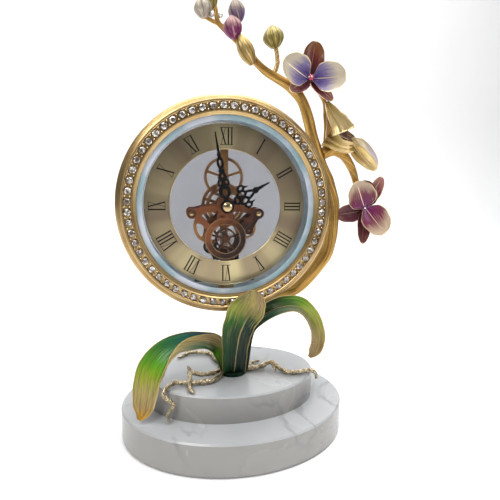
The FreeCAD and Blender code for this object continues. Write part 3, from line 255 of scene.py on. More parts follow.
def streaks(n, across, along, fineness, runs, distortion=0):
    """Noise drawn out along a leaf, petal or bud."""
    return n.noise(n.join(n.times(across, fineness), n.times(along, runs)), 1, 3, distortion)


def polished_gold(name, base=GOLD, rough=0.16):
    """Plated gold, a little darker in patches, with fine polishing marks."""
    n = Nodes(name)
    place = n.place()
    patches = n.noise(place, 60, 3)
    colour = n.mix(n.times(n.spot(patches, 0.42, 0.7), 0.7), base, TARNISH)
    marks = n.noise(place, 900, 2)
    n.bump(marks, 0.02 * MM)
    roughness = n.linear(patches, 0.16, rough - 0.06)
    return n.set(Base_Color=colour, Metallic=1, Roughness=roughness)


def turned_gold(name, base=GOLD):
    """Gold ring turned on a lathe: fine circular grooves round the dial axis, with painted brown shade in
    their hollows.
    """
    n = Nodes(name)
    x, y, z = n.xyz(n.place())
    radius = distance_from(n, x, z, DIAL_X, DIAL_Z)
    depth = n.plus(radius, n.times(y, 0.8))
    lines = n.noise(n.join(n.times(depth, 1600), 0), 1, 3)
    groove = n.math("SINE", n.times(depth, 2 * math.pi / GROOVE_PITCH))
    outside = n.spot(radius, STONE_RING + STONE_R, STONE_RING + STONE_R + 1.5 * MM)
    groove = n.times(n.spot(groove, 0.1, 0.9), outside)
    patches = n.noise(n.place(), 45, 3)
    colour = n.mix(n.times(n.spot(patches, 0.38, 0.75), 0.6), base, (0.34, 0.19, 0.07))
    colour = n.mix(n.times(n.spot(lines, 0.52, 0.72), 0.55), colour, (0.26, 0.14, 0.05))
    # painted shade: brown darkening in the grooves of the outer rim
    colour = n.mix(n.times(groove, 0.7), colour, (0.2, 0.11, 0.04))
    n.bump(n.minus(lines, groove), 0.12 * MM)
    return n.set(Base_Color=colour, Metallic=1, Roughness=n.linear(lines, 0.15, 0.2))


def sunray_gold():
    """Pale gold dial ring brushed from the centre outwards, with painted highlight and painted shade in
    opposite sectors.
    """
    n = Nodes("sunray_gold")
    x, _, z = n.xyz(n.place())
    angle = n.math("ARCTAN2", n.minus(x, DIAL_X), n.minus(z, DIAL_Z))
    fine = n.noise(n.join(n.times(angle, 160), 0), 1, 4)
    # painted highlight and shade: the ring is lighter above and below the centre and darker at its sides,
    # with broad lighter and darker stretches round it
    broad = n.noise(n.join(n.math("SINE", angle), n.math("COSINE", angle)), 1.9, 2)
    lean = n.times(n.math("COSINE", n.times(angle, 2)), 0.07)
    tones = [(0.34, (0.24, 0.16, 0.095)), (0.48, (0.38, 0.29, 0.15)), (0.66, (0.68, 0.57, 0.3))]
    colour = n.ramp(n.plus(broad, lean), tones)
    colour = n.mix(n.times(fine, 0.3), colour, (0.8, 0.72, 0.52))
    n.bump(fine, 0.05 * MM)
    n.set(Anisotropic=0.6)
    return n.set(Base_Color=colour, Metallic=0.85, Roughness=0.34)


def bronze(name, base, dark, rough=0.3):
    """Copper-brown plated plate and wheels, darker in broad patches."""
    n = Nodes(name)
    place = n.place()
    patches = n.noise(place, 70, 2)
    grain = n.noise(place, 1500, 2)
    colour = n.mix(n.spot(patches, 0.4, 0.65), base, dark)
    n.bump(grain, 0.02 * MM)
    return n.set(Base_Color=colour, Metallic=0.9, Roughness=n.linear(grain, 0.15, rough))


def shaded_bridge_plate():
    """Front bridge: copper red at the upper left, darkened by painted shade to nearly black brown at the
    lower right.
    """
    n = Nodes("bridge_plate")
    x, _, z = n.xyz(n.place())
    # painted shade: the plate darkens along the diagonal from the upper left to the lower right
    lean = n.minus(n.minus(x, DIAL_X), n.minus(z, DIAL_Z))
    fleck = n.noise(n.place(), 140, 4)
    share = n.plus(lean, n.swing(fleck, 30 * MM))
    colour = n.mix(n.spot(share, 4 * MM, 40 * MM), (0.25, 0.085, 0.032), (0.03, 0.014, 0.01))
    # painted shade in the sunk ring round each ear's screw head
    for side in (-1, 1):
        ear = distance_from(n, x, z, DIAL_X + side * EAR_ACROSS, DIAL_Z + EAR_UP)
        dark_ear = n.invert(n.spot(ear, EAR_RADIUS - 1.6 * MM, EAR_RADIUS))
        colour = n.mix(n.times(dark_ear, 0.8), colour, (0.035, 0.02, 0.014))
    # painted highlight: gold lines along the bevelled edges of the barrel ring
    barrel = distance_from(n, x, z, DIAL_X, DIAL_Z + BARREL_UP)
    for edge in (BARREL_OUTER - 0.5 * MM, BARREL_INNER + 0.4 * MM):
        line = n.invert(n.spot(n.gap(barrel, edge), 0.15 * MM, 0.3 * MM))
        colour = n.mix(n.times(line, 0.6), colour, (0.55, 0.36, 0.16))
    grain = n.noise(n.place(), 1600, 2)
    n.bump(grain, 0.02 * MM)
    return n.set(Base_Color=colour, Metallic=0.75, Roughness=n.linear(grain, 0.2, 0.22))


def marble():
    """Honed white marble with faint grey clouds and thin broken veins; its upward faces are painted lighter
    and cooler, its sides painted with warmer shade.
    """
    n = Nodes("marble")
    place = n.place()
    clouds = n.noise(place, 9, 4, 0.6)
    warp = n.noise(place, 6, 5, 1.2)
    thin = n.invert(n.spot(n.gap(warp, 0.5), 0, 0.022))
    broken = n.spot(n.noise(place, 14, 2), 0.45, 0.62)
    side_shade_tones = [(0.3, (0.25, 0.245, 0.235)), (0.5, (0.29, 0.283, 0.268)), (0.72, (0.32, 0.31, 0.295))]
    top_light_tones = [(0.3, (0.34, 0.355, 0.365)), (0.5, (0.375, 0.385, 0.395)), (0.72, (0.4, 0.41, 0.415))]
    # painted light and shade: upward faces take the lighter, cooler tones, the sides the darker, warmer ones
    upward = n.xyz(n.normal())[2]
    colour = n.mix(n.spot(upward, 0.3, 0.9), n.ramp(clouds, side_shade_tones), n.ramp(clouds, top_light_tones))
    colour = n.mix(n.times(n.times(thin, broken), 0.45), colour, (0.17, 0.17, 0.175))
    n.bump(clouds, 0.01 * MM)
    n.set(Coat_Weight=0.15, Coat_Roughness=0.12)
    return n.set(Base_Color=colour, Roughness=n.linear(clouds, 0.1, 0.22))


def bark_gold(name, light, dark, twist=9, scale=30, rough=0.26):
    """Cast limb: long grooves that wind round it slowly, brown left in the hollows, pale gold painted on the
    ridges as a highlight.
    """
    n = Nodes(name)
    across, along = n.uv()
    turn = n.plus(n.times(across, 2 * math.pi), n.times(along, twist))
    vector = n.join(n.times(n.math("SINE", turn), 1.6),
                    n.times(n.math("COSINE", turn), 1.6),
                    n.times(along, scale * 0.22))
    grooves = n.noise(vector, 2.6, 3, 0.5)
    fine = n.noise(n.place(), 420, 3)
    height = n.plus(grooves, n.times(fine, 0.18))
    colour = n.mix(n.spot(height, 0.42, 0.72), dark, light)
    # painted highlight: pale gold on the highest ridges
    colour = n.mix(n.times(n.spot(height, 0.7, 0.84), 0.5), colour, PALE_GOLD)
    n.bump(height, 0.6 * MM, 0.7)
    return n.set(Base_Color=colour, Metallic=0.9, Roughness=n.linear(fine, 0.22, rough - 0.08))


def leaf_enamel(name, inner, inner_edge, outer, crease, line_share, fibre):
    """Glossy leaf: one colour run on each side of a gilt crease, gold fibres where fibre is high.

    inner and inner_edge colour the part before the crease, outer the part beyond it."""
    n = Nodes(name)
    across, along = n.uv()
    wobble = n.swing(n.noise(n.join(0, along), 7, 2), 0.05)
    border = n.plus(n.graph(along, crease), wobble)
    side = n.minus(across, border)
    fibres = streaks(n, across, along, 46, 5, 0.4)
    shift = n.plus(along, n.swing(fibres, 0.2))
    near_crease = n.spot(n.math("DIVIDE", across, border), 0.25, 0.75)
    band = n.mix(near_crease, n.ramp(shift, inner_edge), n.ramp(shift, inner))
    colour = n.mix(n.spot(side, -0.006, 0.006), band, n.ramp(shift, outer))
    gold_share = n.times(n.spot(fibres, 0.54, 0.66), n.graph(along, fibre))
    line = n.invert(n.spot(n.math("ABSOLUTE", side), 0.012, 0.028))
    line = n.times(line, n.graph(along, line_share))
    edge = n.spot(n.gap(across, 0.5), 0.463, 0.48)
    gilt = n.larger(gold_share, n.larger(line, edge))
    shade = n.spot(streaks(n, across, along, 14, 6), 0.45, 0.65)
    colour = n.mix(n.times(shade, 0.45), colour, (0.05, 0.045, 0.015))
    colour = n.mix(n.times(gilt, 0.85), colour, (0.6, 0.46, 0.2))
    n.bump(n.plus(n.times(fibres, 0.6), gilt), 0.4 * MM, 0.7)
    n.set(Coat_Weight=0.22, Coat_Roughness=0.07, Specular_IOR_Level=0.25)
    return n.set(Base_Color=colour, Metallic=n.times(gilt, 0.8), Roughness=n.linear(gilt, 0.1, 0.26))


def petal_enamel(name, heart, middle, margin, spread=0.5, metal=0, edge_colour=PALE_GOLD):
    """Petal: dark heart fading outwards to the margin, gilt rim, midrib and fine veins."""
    n = Nodes(name)
    across, along = n.uv()
    aside = n.gap(across, 0.5)
    veins = streaks(n, across, along, 30, 3, 0.5)
    cloud = n.noise(n.join(across, along), 3, 3)
    reach = n.plus(along, n.times(n.times(aside, aside), 1.1))
    reach = n.plus(reach, n.swing(veins, 0.4))
    reach = n.plus(reach, n.swing(cloud, 0.25))
    colour = n.ramp(reach, [(0.1, heart), (spread, middle), (min(spread + 0.32, 0.98), margin)])
    rib = n.invert(n.spot(aside, 0.008, 0.022))
    rib = n.times(rib, n.spot(n.invert(along), 0.12, 0.25))
    edge = n.larger(n.spot(aside, 0.462, 0.485), n.spot(along, 0.955, 0.975))
    thread = n.times(n.spot(veins, 0.6, 0.7), 0.35)
    gilt = n.larger(n.larger(rib, edge), thread)
    colour = n.mix(gilt, colour, edge_colour)
    n.bump(n.plus(n.times(veins, 0.5), gilt), 0.3 * MM, 0.7)
    n.set(Coat_Weight=0.2, Coat_Roughness=0.1, Specular_IOR_Level=0.25)
    shine = n.linear(gilt, 0.8 - metal * 0.8, metal)
    return n.set(Base_Color=colour, Metallic=shine, Roughness=0.28)


def bud_enamel(name, base, tip, rib_colour, ribs=7, metal=0):
    """Closed bud: colour run from base to tip with pale ribs and a fine mottle."""
    n = Nodes(name)
    across, along = n.uv()
    mottle = n.noise(n.place(), 260, 4)
    shift = n.plus(along, n.swing(mottle, 0.5))
    colour = n.mix(n.spot(shift, 0.25, 0.75), base, tip)
    turn = n.times(across, 2 * math.pi * ribs)
    ridge = n.math("SINE", n.plus(turn, n.times(along, 2.2)))
    speck = n.times(n.spot(mottle, 0.58, 0.7), 0.5)
    gilt = n.larger(n.times(n.spot(ridge, 0.82, 0.98), 0.7), speck)
    groove = n.invert(n.spot(ridge, -0.98, -0.7))
    threads = streaks(n, across, along, 60, 3, 0.5)
    shade = n.larger(n.times(groove, 0.7), n.times(n.spot(threads, 0.5, 0.66), 0.5))
    colour = n.mix(gilt, colour, rib_colour)
    colour = n.mix(shade, colour, tuple(channel * 0.3 for channel in base))
    n.bump(n.plus(n.times(gilt, 0.8), n.times(mottle, 0.5)), 0.6 * MM, 0.8)
    n.set(Coat_Weight=0.08, Coat_Roughness=0.2, Specular_IOR_Level=0.3)
    return n.set(Base_Color=colour, Metallic=n.linear(gilt, 0.7 - metal * 0.7, metal), Roughness=0.46)


def plain_surface(name, base, rough, metallic=0, grain_size=800, depth=0.03 * MM, spread=0.25,
                  shine=0.5):
    """Even surface with a fine grain in colour and height."""
    n = Nodes(name)
    grain = n.noise(n.place(), grain_size, 3)
    darker = tuple(channel * (1 - spread) for channel in base)
    colour = n.mix(n.spot(grain, 0.35, 0.7), darker, base)
    n.bump(grain, depth)
    roughness = n.linear(grain, 0.12, rough - 0.06)
    return n.set(Base_Color=colour, Metallic=metallic, Roughness=roughness, Specular_IOR_Level=shine)


def clear_glass(name, tint, alpha):
    """Thin pane: mostly see-through, faintly smeared, keeps its reflections."""
    n = Nodes(name)
    smear = n.noise(n.place(), 22, 3)
    n.bump(smear, 0.02 * MM)
    share = n.linear(smear, 0.01, alpha)
    return n.set(Base_Color=tint, Roughness=0.04, Alpha=share, Specular_IOR_Level=0.12)


def bevelled_pane():
    """Front pane: clear inside, its bevel covered by a painted pale blue reflection band."""
    n = Nodes("pane_front")
    place = n.place()
    x, _, z = n.xyz(place)
    radius = distance_from(n, x, z, DIAL_X, DIAL_Z)
    # painted reflection: the bevel band is given pale blue and whitish patches and made partly opaque
    band = n.spot(radius, BEVEL_START - 0.2 * MM, BEVEL_START + 0.4 * MM)
    smear = n.noise(place, 22, 3)
    patch = n.spot(n.noise(place, 30, 2), 0.4, 0.62)
    tint = n.mix(patch, (0.36, 0.52, 0.58), (0.7, 0.74, 0.84))
    colour = n.mix(band, (0.3, 0.33, 0.36), tint)
    n.bump(smear, 0.02 * MM)
    clear = n.linear(smear, 0.01, 0.006)
    share = n.plus(clear, n.times(band, 0.55))
    return n.set(Base_Color=colour, Roughness=0.04, Alpha=share, Specular_IOR_Level=0.12)


def cut_crystal(name, tint, dark):
    """Faceted stone: bright and dark flashes broken up below the size of a facet."""
    n = Nodes(name)
    distance, flash = n.cells(n.place(), 700)
    spread = n.xyz(flash)[0]
    colour = n.ramp(spread, [(0.25, dark), (0.62, tint), (0.95, (0.9, 0.88, 0.86))])
    n.bump(distance, 0.4 * MM, 0.8)
    n.set(Coat_Weight=1, Coat_Roughness=0.02)
    return n.set(Base_Color=colour, Metallic=0.6, Roughness=0.08)


def felt():
    """Short black fibres with a faint sheen."""
    n = Nodes("felt")
    fibre = n.noise(n.place(), 1800, 6)
    colour = n.mix(fibre, (0.01, 0.01, 0.01), (0.05, 0.05, 0.05))
    n.bump(fibre, 0.2 * MM)
    n.set(Sheen_Weight=0.4)
    return n.set(Base_Color=colour, Roughness=0.95)


# ---------------------------------------------------------------- mesh builders

def new_piece(name, vertices, faces, uvs, material, smooth=True):
    """Mesh object from points, faces and one uv pair per face corner."""
    mesh = bpy.data.meshes.new(name)
    mesh.from_pydata([tuple(v) for v in vertices], [], faces)
    if uvs:
        layer = mesh.uv_layers.new(name="surface")
        flat = [value for face in uvs for pair in face for value in pair]
        layer.data.foreach_set("uv", flat)
    mesh.materials.append(material)
    mesh.polygons.foreach_set("use_smooth", [smooth] * len(mesh.polygons))
    mesh.validate()
    mesh.update()
    piece = bpy.data.objects.new(name, mesh)
    bpy.context.scene.collection.objects.link(piece)
    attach(piece, BODY)
    return piece


def curve_through(values, steps):
    """Catmull-Rom curve through tuples of numbers."""
    padded = [values[0]] + list(values) + [values[-1]]
    result = []
    for i in range(1, len(padded) - 2):
        p0, p1, p2, p3 = padded[i - 1:i + 3]
        for k in range(steps):
            t = k / steps
            result.append(tuple(
                0.5 * (2 * b + (c - a) * t + (2 * a - 5 * b + 4 * c - d) * t * t
                       + (3 * b - a - 3 * c + d) * t ** 3)
                for a, b, c, d in zip(p0, p1, p2, p3)))
    result.append(tuple(values[-1]))
    return result


def directions(points):
    """Unit direction of a route at each of its points."""
    last = len(points) - 1
    return [(points[min(i + 1, last)] - points[max(i - 1, 0)]).normalized() for i in range(last + 1)]


def spoke(side, other, angle):
    """Unit vector at an angle, in the plane of two unit vectors at right angles."""
    return side * math.cos(angle) + other * math.sin(angle)


def loop_faces(rows, columns, closed):
    """Quads and uv pairs of a grid of rows by columns, wrapped round when closed."""
    faces, uvs = [], []
    spans = columns if closed else columns - 1
    for i in range(rows - 1):
        for j in range(spans):
            k = (j + 1) % columns
            faces.append((i * columns + j, i * columns + k, (i + 1) * columns + k, (i + 1) * columns + j))
            u0, u1 = j / spans, (j + 1) / spans
            v0, v1 = i / (rows - 1), (i + 1) / (rows - 1)
            uvs.append(((u0, v0), (u1, v0), (u1, v1), (u0, v1)))
    return faces, uvs


def close_ends(faces, uvs, rows, sides):
    """Add the two end caps of a tube."""
    for row, order in ((0, -1), (rows - 1, 1)):
        ring = [row * sides + k for k in range(sides)][::order]
        faces.append(tuple(ring))
        uvs.append(tuple((0.5, row / (rows - 1)) for _ in ring))


def limb(name, stations, material, relief, steps=10, sides=28):
    """Organic round limb through (x, y, z, radius) stations in millimetres."""
    dense = curve_through(stations, steps)
    centres = [Vector(s[:3]) * MM for s in dense]
    along = directions(centres)
    side = along[0].cross(Vector((0.3, 1, 0.2))).normalized()
    vertices = []
    travelled = 0
    for i, (centre, tangent, station) in enumerate(zip(centres, along, dense)):
        if i:
            travelled += (centre - centres[i - 1]).length
        side = (side - tangent * side.dot(tangent)).normalized()
        other = tangent.cross(side)
        for k in range(sides):
            angle = 2 * math.pi * k / sides
            radius = station[3] * MM * (1 + relief(travelled, angle))
            vertices.append(centre + spoke(side, other, angle) * radius)
    faces, uvs = loop_faces(len(centres), sides, True)
    close_ends(faces, uvs, len(centres), sides)
    return new_piece(name, vertices, faces, uvs, material)


def sheet_piece(name, rows, material, thickness):
    """Closed shell from rows of (point, normal) pairs running across the sheet."""
    columns = len(rows[0])
    front = [p + n * (thickness * MM / 2) for row in rows for p, n in row]
    back = [p - n * (thickness * MM / 2) for row in rows for p, n in row]
    faces, uvs = loop_faces(len(rows), columns, False)
    count = len(front)
    shell = faces + [tuple(count + i for i in reversed(face)) for face in faces]
    pairs = uvs + [tuple(reversed(pair)) for pair in uvs]
    border = list(range(columns))
    border += [i * columns + columns - 1 for i in range(1, len(rows))]
    border += [(len(rows) - 1) * columns + j for j in range(columns - 2, -1, -1)]
    border += [i * columns for i in range(len(rows) - 2, 0, -1)]
    for k, a in enumerate(border):
        b = border[(k + 1) % len(border)]
        shell.append((b, a, count + a, count + b))
        where = ((b % columns) / (columns - 1), (b // columns) / (len(rows) - 1))
        pairs.append((where, where, where, where))
    piece = new_piece(name, front + back, shell, pairs, material)
    bevel = piece.modifiers.new("soft_rim", "BEVEL")
    bevel.width = thickness * MM * 0.35
    bevel.segments = 2
    bevel.limit_method = "ANGLE"
    bevel.angle_limit = math.radians(60)
    return piece


def rim_share(s, width):
    """How far the border has risen; s runs from -1 to 1 across the sheet."""
    return max(0, abs(s) - (1 - width)) / width


def leaf(name, stations, material, thickness, cup, crease=lambda t: 0.5, steps=10, across=32):
    """Long leaf through (x, y, z, width, facing x, y, z) stations, creased where the colours meet."""
    dense = curve_through(stations, steps)
    centres = [Vector(s[:3]) * MM for s in dense]
    along = directions(centres)
    rows = []
    for i, (centre, tangent, station) in enumerate(zip(centres, along, dense)):
        t = i / (len(dense) - 1)
        facing = Vector(station[4:7])
        side = tangent.cross(facing).normalized()
        normal = side.cross(tangent).normalized()
        width = station[3] * MM * (1 + 0.025 * math.sin(23 * t) + 0.015 * math.sin(51 * t))
        split = crease(t)
        row = []
        for k in range(across + 1):
            s = 2 * k / across - 1
            share = k / across
            bow = cup * width * s * s
            ridge = CREASE * math.exp(-((share - split) / CREASE_WIDTH) ** 2)
            rim = LEAF_RIM * rim_share(s, LEAF_RIM_WIDTH)
            ribs = LEAF_RIB * math.cos(2 * math.pi * LEAF_RIBS * share)
            row.append((centre + side * (s * width / 2) + normal * (bow + ridge + rim + ribs), normal))
        rows.append(row)
    return sheet_piece(name, rows, material, thickness)


def petal(name, root, tip, width, facing, material, lift=2, cup=0.16, thickness=1.2, blunt=0.5,
          frill=0.02, rows=26, across=26):
    """Rounded petal with a raised rim, shallow ribs and a slightly waved edge."""
    start, end = Vector(root) * MM, Vector(tip) * MM
    forward = Vector(facing).normalized()
    tangent = (end - start).normalized()
    side = tangent.cross(forward).normalized()
    normal = side.cross(tangent).normalized()
    grid = []
    for i in range(rows + 1):
        t = i / rows
        centre = start + (end - start) * t + normal * (lift * MM * t * t)
        belly = max(0, 1 - (2 * t ** 0.85 - 1) ** 2) ** blunt
        share = max(belly * min(1, 0.35 + 3.2 * t), 0.1 if t < 0.5 else 0.07)
        half = width * MM / 2 * share * (1 + frill * math.sin(19 * t))
        row = []
        for k in range(across + 1):
            s = 2 * k / across - 1
            bow = cup * width * MM * share * s * s
            rim = PETAL_RIM * rim_share(s, PETAL_RIM_WIDTH)
            rib = MIDRIB * math.exp(-(s / MIDRIB_WIDTH) ** 2) * (1 - t)
            wave = frill * width * MM * 0.5 * math.sin(9 * t + 4 * s) * abs(s)
            row.append((centre + side * (s * half) + normal * (bow + rim + rib + wave), normal))
        grid.append(row)
    return sheet_piece(name, grid, material, thickness)


def bud(name, base, tip, radius, material, ribs=7, swirl=2.2, depth=0.06, rows=30, sides=56):
    """Closed ribbed bud along the line from base to tip."""
    start, end = Vector(base) * MM, Vector(tip) * MM
    axis = (end - start).normalized()
    side = axis.cross(Vector((0, 1, 0.1))).normalized()
    other = axis.cross(side)
    vertices = []
    for i in range(rows + 1):
        t = i / rows
        share = max(math.sin(math.pi * min(1, t * 0.9 + 0.09)) ** 0.72, 0.1)
        for k in range(sides):
            angle = 2 * math.pi * k / sides
            groove = 1 + depth * math.cos(ribs * angle + swirl * t) * math.sin(math.pi * t)
            reach = radius * MM * share * groove
            vertices.append(start + (end - start) * t + spoke(side, other, angle) * reach)
    faces, uvs = loop_faces(rows + 1, sides, True)
    close_ends(faces, uvs, rows + 1, sides)
    return new_piece(name, vertices, faces, uvs, material)


def on_dial(radius, angle, y):
    """Point at a clockwise angle from twelve, seen from the front."""
    return Vector((DIAL_X + radius * math.sin(angle), y, DIAL_Z + radius * math.cos(angle)))


def lathe(name, profile, material, segments=192):
    """Flat-shaded ring or disc turned about the dial axis from (radius, y) points in metres."""
    count = len(profile)
    vertices, faces = [], []
    for k in range(segments):
        after = (k + 1) % segments
        for j, (radius, y) in enumerate(profile):
            below = (j + 1) % count
            vertices.append(on_dial(radius, 2 * math.pi * k / segments, y))
            faces.append((k * count + j, after * count + j, after * count + below, k * count + below))
    return new_piece(name, vertices, faces, None, material, False)


def stones(material):
    """Round brilliant stones in the bezel channel, as one mesh of flat facets."""
    front = stone_low.y
    depth = stone_high.y - front
    # from the point to the table: shares of the radius and of the depth, and the turn in facets
    rings = [(0.16, 1, 0), (1, 0.4, 0), (1, 0.34, 0), (0.86, 0.17, 0.5), (0.52, 0, 0)]
    vertices, faces = [], []
    for index in range(STONES):
        angle = 2 * math.pi * (index + 0.5) / STONES
        centre = on_dial(STONE_RING, angle, 0)
        first = len(vertices)
        for share, depth_share, facet_turn in rings:
            for k in range(STONE_SIDES):
                turn = 2 * math.pi * (k + facet_turn) / STONE_SIDES + index * STONE_TURN
                vertices.append((centre.x + STONE_R * share * math.cos(turn), front + depth * depth_share,
                                 centre.z + STONE_R * share * math.sin(turn)))
        for level in range(len(rings) - 1):
            low = first + level * STONE_SIDES
            high = low + STONE_SIDES
            for k in range(STONE_SIDES):
                n = (k + 1) % STONE_SIDES
                faces.append((low + k, low + n, high + k))
                faces.append((low + n, high + n, high + k))
        table = first + (len(rings) - 1) * STONE_SIDES
        faces.append(tuple(table + k for k in range(STONE_SIDES)))
        faces.append(tuple(first + k for k in reversed(range(STONE_SIDES))))
    piece = new_piece("bezel_stones", vertices, faces, None, material, False)
    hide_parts("bezel_crystals")


def bead_cluster(name, beads, material, smooth=True):
    """One mesh of small balls, each given as its centre, radius, rings and sides."""
    vertices, faces = [], []
    for centre, radius, rings, sides in beads:
        first = len(vertices)
        for i in range(rings + 1):
            lat = math.pi * i / rings
            for k in range(sides):
                lon = 2 * math.pi * k / sides
                vertices.append((centre.x + radius * math.sin(lat) * math.cos(lon),
                                 centre.y - radius * math.cos(lat),
                                 centre.z + radius * math.sin(lat) * math.sin(lon)))
        for i in range(rings):
            row = first + i * sides
            for k in range(sides):
                n = (k + 1) % sides
                faces.append((row + k, row + n, row + sides + n, row + sides + k))
    return new_piece(name, vertices, faces, None, material, smooth)


def claws(material):
    """Pairs of small beads that hold the stones, inner and outer."""
    beads = []
    for index in range(STONES):
        angle = 2 * math.pi * index / STONES
        for radius in (STONE_RING - CLAW_OFFSET, STONE_RING + CLAW_OFFSET):
            beads.append((on_dial(radius, angle, stone_low.y + CLAW_DEPTH), CLAW_R, 5, 9))
    bead_cluster("stone_claws", beads, material)


# ---------------------------------------------------------------- plant routes, in millimetres

PLATE_TOP = 54.5
STEM = [
    (6, 3, PLATE_TOP, 6), (6, 3.5, 74, 5.6), (7.5, 4, 95, 5.6), (17, 4, 110, 5.8),
    (34, 4, 120.5, 6.2), (54.3, 3, 124.5, 5.8), (67.1, 1, 136.1, 5.7), (76.8, 0, 148.4, 5.7),
    (83.5, 0, 160.6, 5.7), (86.6, 0, 176.5, 5.6), (86.8, 0, 199, 5.5), (81, 0, 219.5, 5.4),
    (75, 0, 232.5, 5), (66.8, 0, 252.3, 4.7), (61.6, 1, 271.6, 4.6), (55.6, 3, 287.5, 4.4),
    (46.5, 4, 297, 4.1), (35.5, 5, 303.5, 3.9), (24, 5, 309.5, 3.4), (12.5, 5, 319.5, 3),
    (4.5, 5, 327.5, 2.9), (-3, 5, 333.5, 2.5), (-10, 5, 338.8, 2.2), (-14.6, 5, 343.6, 2),
    (-16.1, 5, 352.7, 1.7), (-18.6, 5, 358.5, 1.4)]
# short twigs from the stem to the silver and the cream bud, and the stalk of the gold bud
SILVER_TWIG = [(-12.5, 5, 341.5, 1.6), (-18, 5, 343.2, 1.5), (-24.5, 4.3, 346, 1.6)]
CREAM_TWIG = [(-4, 6, 334.5, 1.5), (0, 7.5, 339, 1.5), (2.2, 6.2, 347, 1.5)]
GOLD_BUD_STALK = [(31.5, 5, 305.5, 1.9), (35, 5.5, 316, 1.8), (33.4, 6, 328.5, 2)]
UPPER_STALK = [
    (75, 0.5, 240.5, 3.2), (77.3, 0, 250, 2.3), (76.9, -0.5, 262, 1.7), (76, -0.5, 275, 1.7),
    (75, -0.5, 285, 1.8), (70, -0.5, 293, 2), (61.5, -1, 301, 2.3)]
LOWER_STALK = [
    (76, 1, 243, 4.3), (85, 0, 246.5, 4.5), (93.5, 0, 243.5, 4.5), (100, 1, 236.5, 3.9),
    (104.8, 2, 229, 3.3), (108.5, 3, 220, 2.9), (112.5, 3.5, 208, 2.7), (114.8, 2, 199, 2.6)]
CENTRAL_LEAF = [
    (-1.2, -7, PLATE_TOP, 19.5, 0, -1, 0), (-1.6, -13, 73, 21.5, 0, -1, 0.3),
    (-1.2, -20.5, 94.5, 24, 0, -1, 0.35), (2.2, -28, 111, 27, 0, -1, 0.35),
    (6.8, -33, 122, 27, 0, -1, 0.3), (9, -35, 130, 20.5, 0, -1, 0.2),
    (9.6, -36, 135.2, 6, 0, -1, 0.2)]
RIGHT_LEAF = [
    (8, -4.6, PLATE_TOP, 7, 0.1, -1, 0), (8.5, -7, 72, 9, 0.1, -1, 0.2),
    (9.5, -10.5, 88, 10.5, 0, -1, 0.3), (13, -13.5, 98.6, 12, -0.1, -1, 0.5),
    (21, -17.5, 107.8, 13.5, -0.1, -0.9, 0.6), (34, -20.5, 115.2, 14.8, -0.1, -0.8, 0.8),
    (45.5, -22, 117.6, 15.4, 0.1, -0.8, 0.8), (54, -23.2, 115.2, 15.4, 0.3, -0.8, 0.7),
    (60.8, -24.8, 108.2, 15, 0.5, -0.8, 0.4), (65.2, -26.3, 99, 14.8, 0.5, -0.9, 0.2),
    (66.6, -27.8, 90.5, 14.4, 0.4, -1, 0.1), (65.4, -29, 83, 13, 0.3, -1, 0.1),
    (63, -29.6, 78, 10, 0.2, -1, 0.1), (59.6, -30, 73.8, 2.5, 0.2, -1, 0)]
LEFT_LEAF = [
    (-8, -3.6, PLATE_TOP, 8, -0.3, -1, 0), (-9, -6, 65, 12, -0.3, -1, 0.1),
    (-12, -9.5, 76, 16.5, -0.2, -1, 0.2), (-18.5, -12, 83, 15.5, -0.1, -0.9, 0.4),
    (-28, -14.5, 86.8, 13.8, 0, -0.9, 0.5), (-41.5, -17, 87.6, 15.6, 0, -0.9, 0.5),
    (-53.5, -19.8, 85.6, 17, -0.1, -0.9, 0.5), (-64, -23, 78, 20.5, -0.2, -0.9, 0.4),
    (-70.6, -26.5, 67.5, 22.5, -0.3, -1, 0.2), (-73.7, -28.8, 57.5, 21.5, -0.2, -1, 0.1),
    (-75.6, -30.5, 47, 18.5, -0.1, -1, 0.1), (-77.2, -32, 38, 13, 0, -1, 0.1),
    (-80.5, -33, 31.3, 3, 0, -1, 0.1)]
# petals as (root, tip, width, facing, lift)
UPPER_PETALS = [
    ((58.5, -4.5, 302), (35.5, -7.5, 314), 24, (-0.1, -1, 0.1), 3),
    ((62, -4.5, 302.4), (88.9, -7, 305), 23.5, (0.15, -1, 0.05), 3)]
UPPER_SEPALS = [
    ((60, -1.2, 303.5), (64.6, -1, 332), 19, (0, -1, 0.1), 1),
    ((60.5, -2.2, 303.5), (43.5, -3, 292.8), 13.5, (0, -1, 0), 1),
    ((60, -2.6, 303.5), (80.3, -3, 286.4), 10, (0, -1, 0), 1)]
LOWER_PETALS = [
    ((115, -3.4, 197), (104, -6, 221), 25, (-0.2, -1, 0.1), 2),
    ((114.2, -4, 198.6), (132.8, -8, 175.4), 25.5, (0.2, -1, -0.1), 2)]
LOWER_SEPALS = [
    ((115.4, -1, 196.5), (113, -2.6, 222), 22, (0, -1, 0.2), 1),
    ((119.5, 0.8, 202), (130, -0.5, 225.4), 13, (0.1, -1, 0.1), 1),
    ((114, -0.6, 195), (88, -2, 191.4), 16.5, (0, -1, 0), 1),
    ((115, -1.6, 197), (114.6, -3, 165.8), 12.5, (0, -1, 0), 1)]
HANGING_PETALS = [
    ((96.5, -6, 250.5), (121, -8, 230.6), 12, (-0.1, -1, -0.1), 1),
    ((99.5, -3.2, 257), (122.8, -4.2, 232.4), 16, (0.35, -0.85, 0.3), 1)]
HOOD = [
    (75.5, -1.6, 285.4, 3, 0.1, -1, 0.2), (78.3, -3.6, 279.8, 9, 0.1, -1, 0.25),
    (81.5, -5.2, 273.5, 14, 0.1, -1, 0.3), (86, -6.4, 267, 18.5, 0.1, -1, 0.25),
    (88.8, -6.9, 260.6, 21.5, 0, -1, 0.1)]
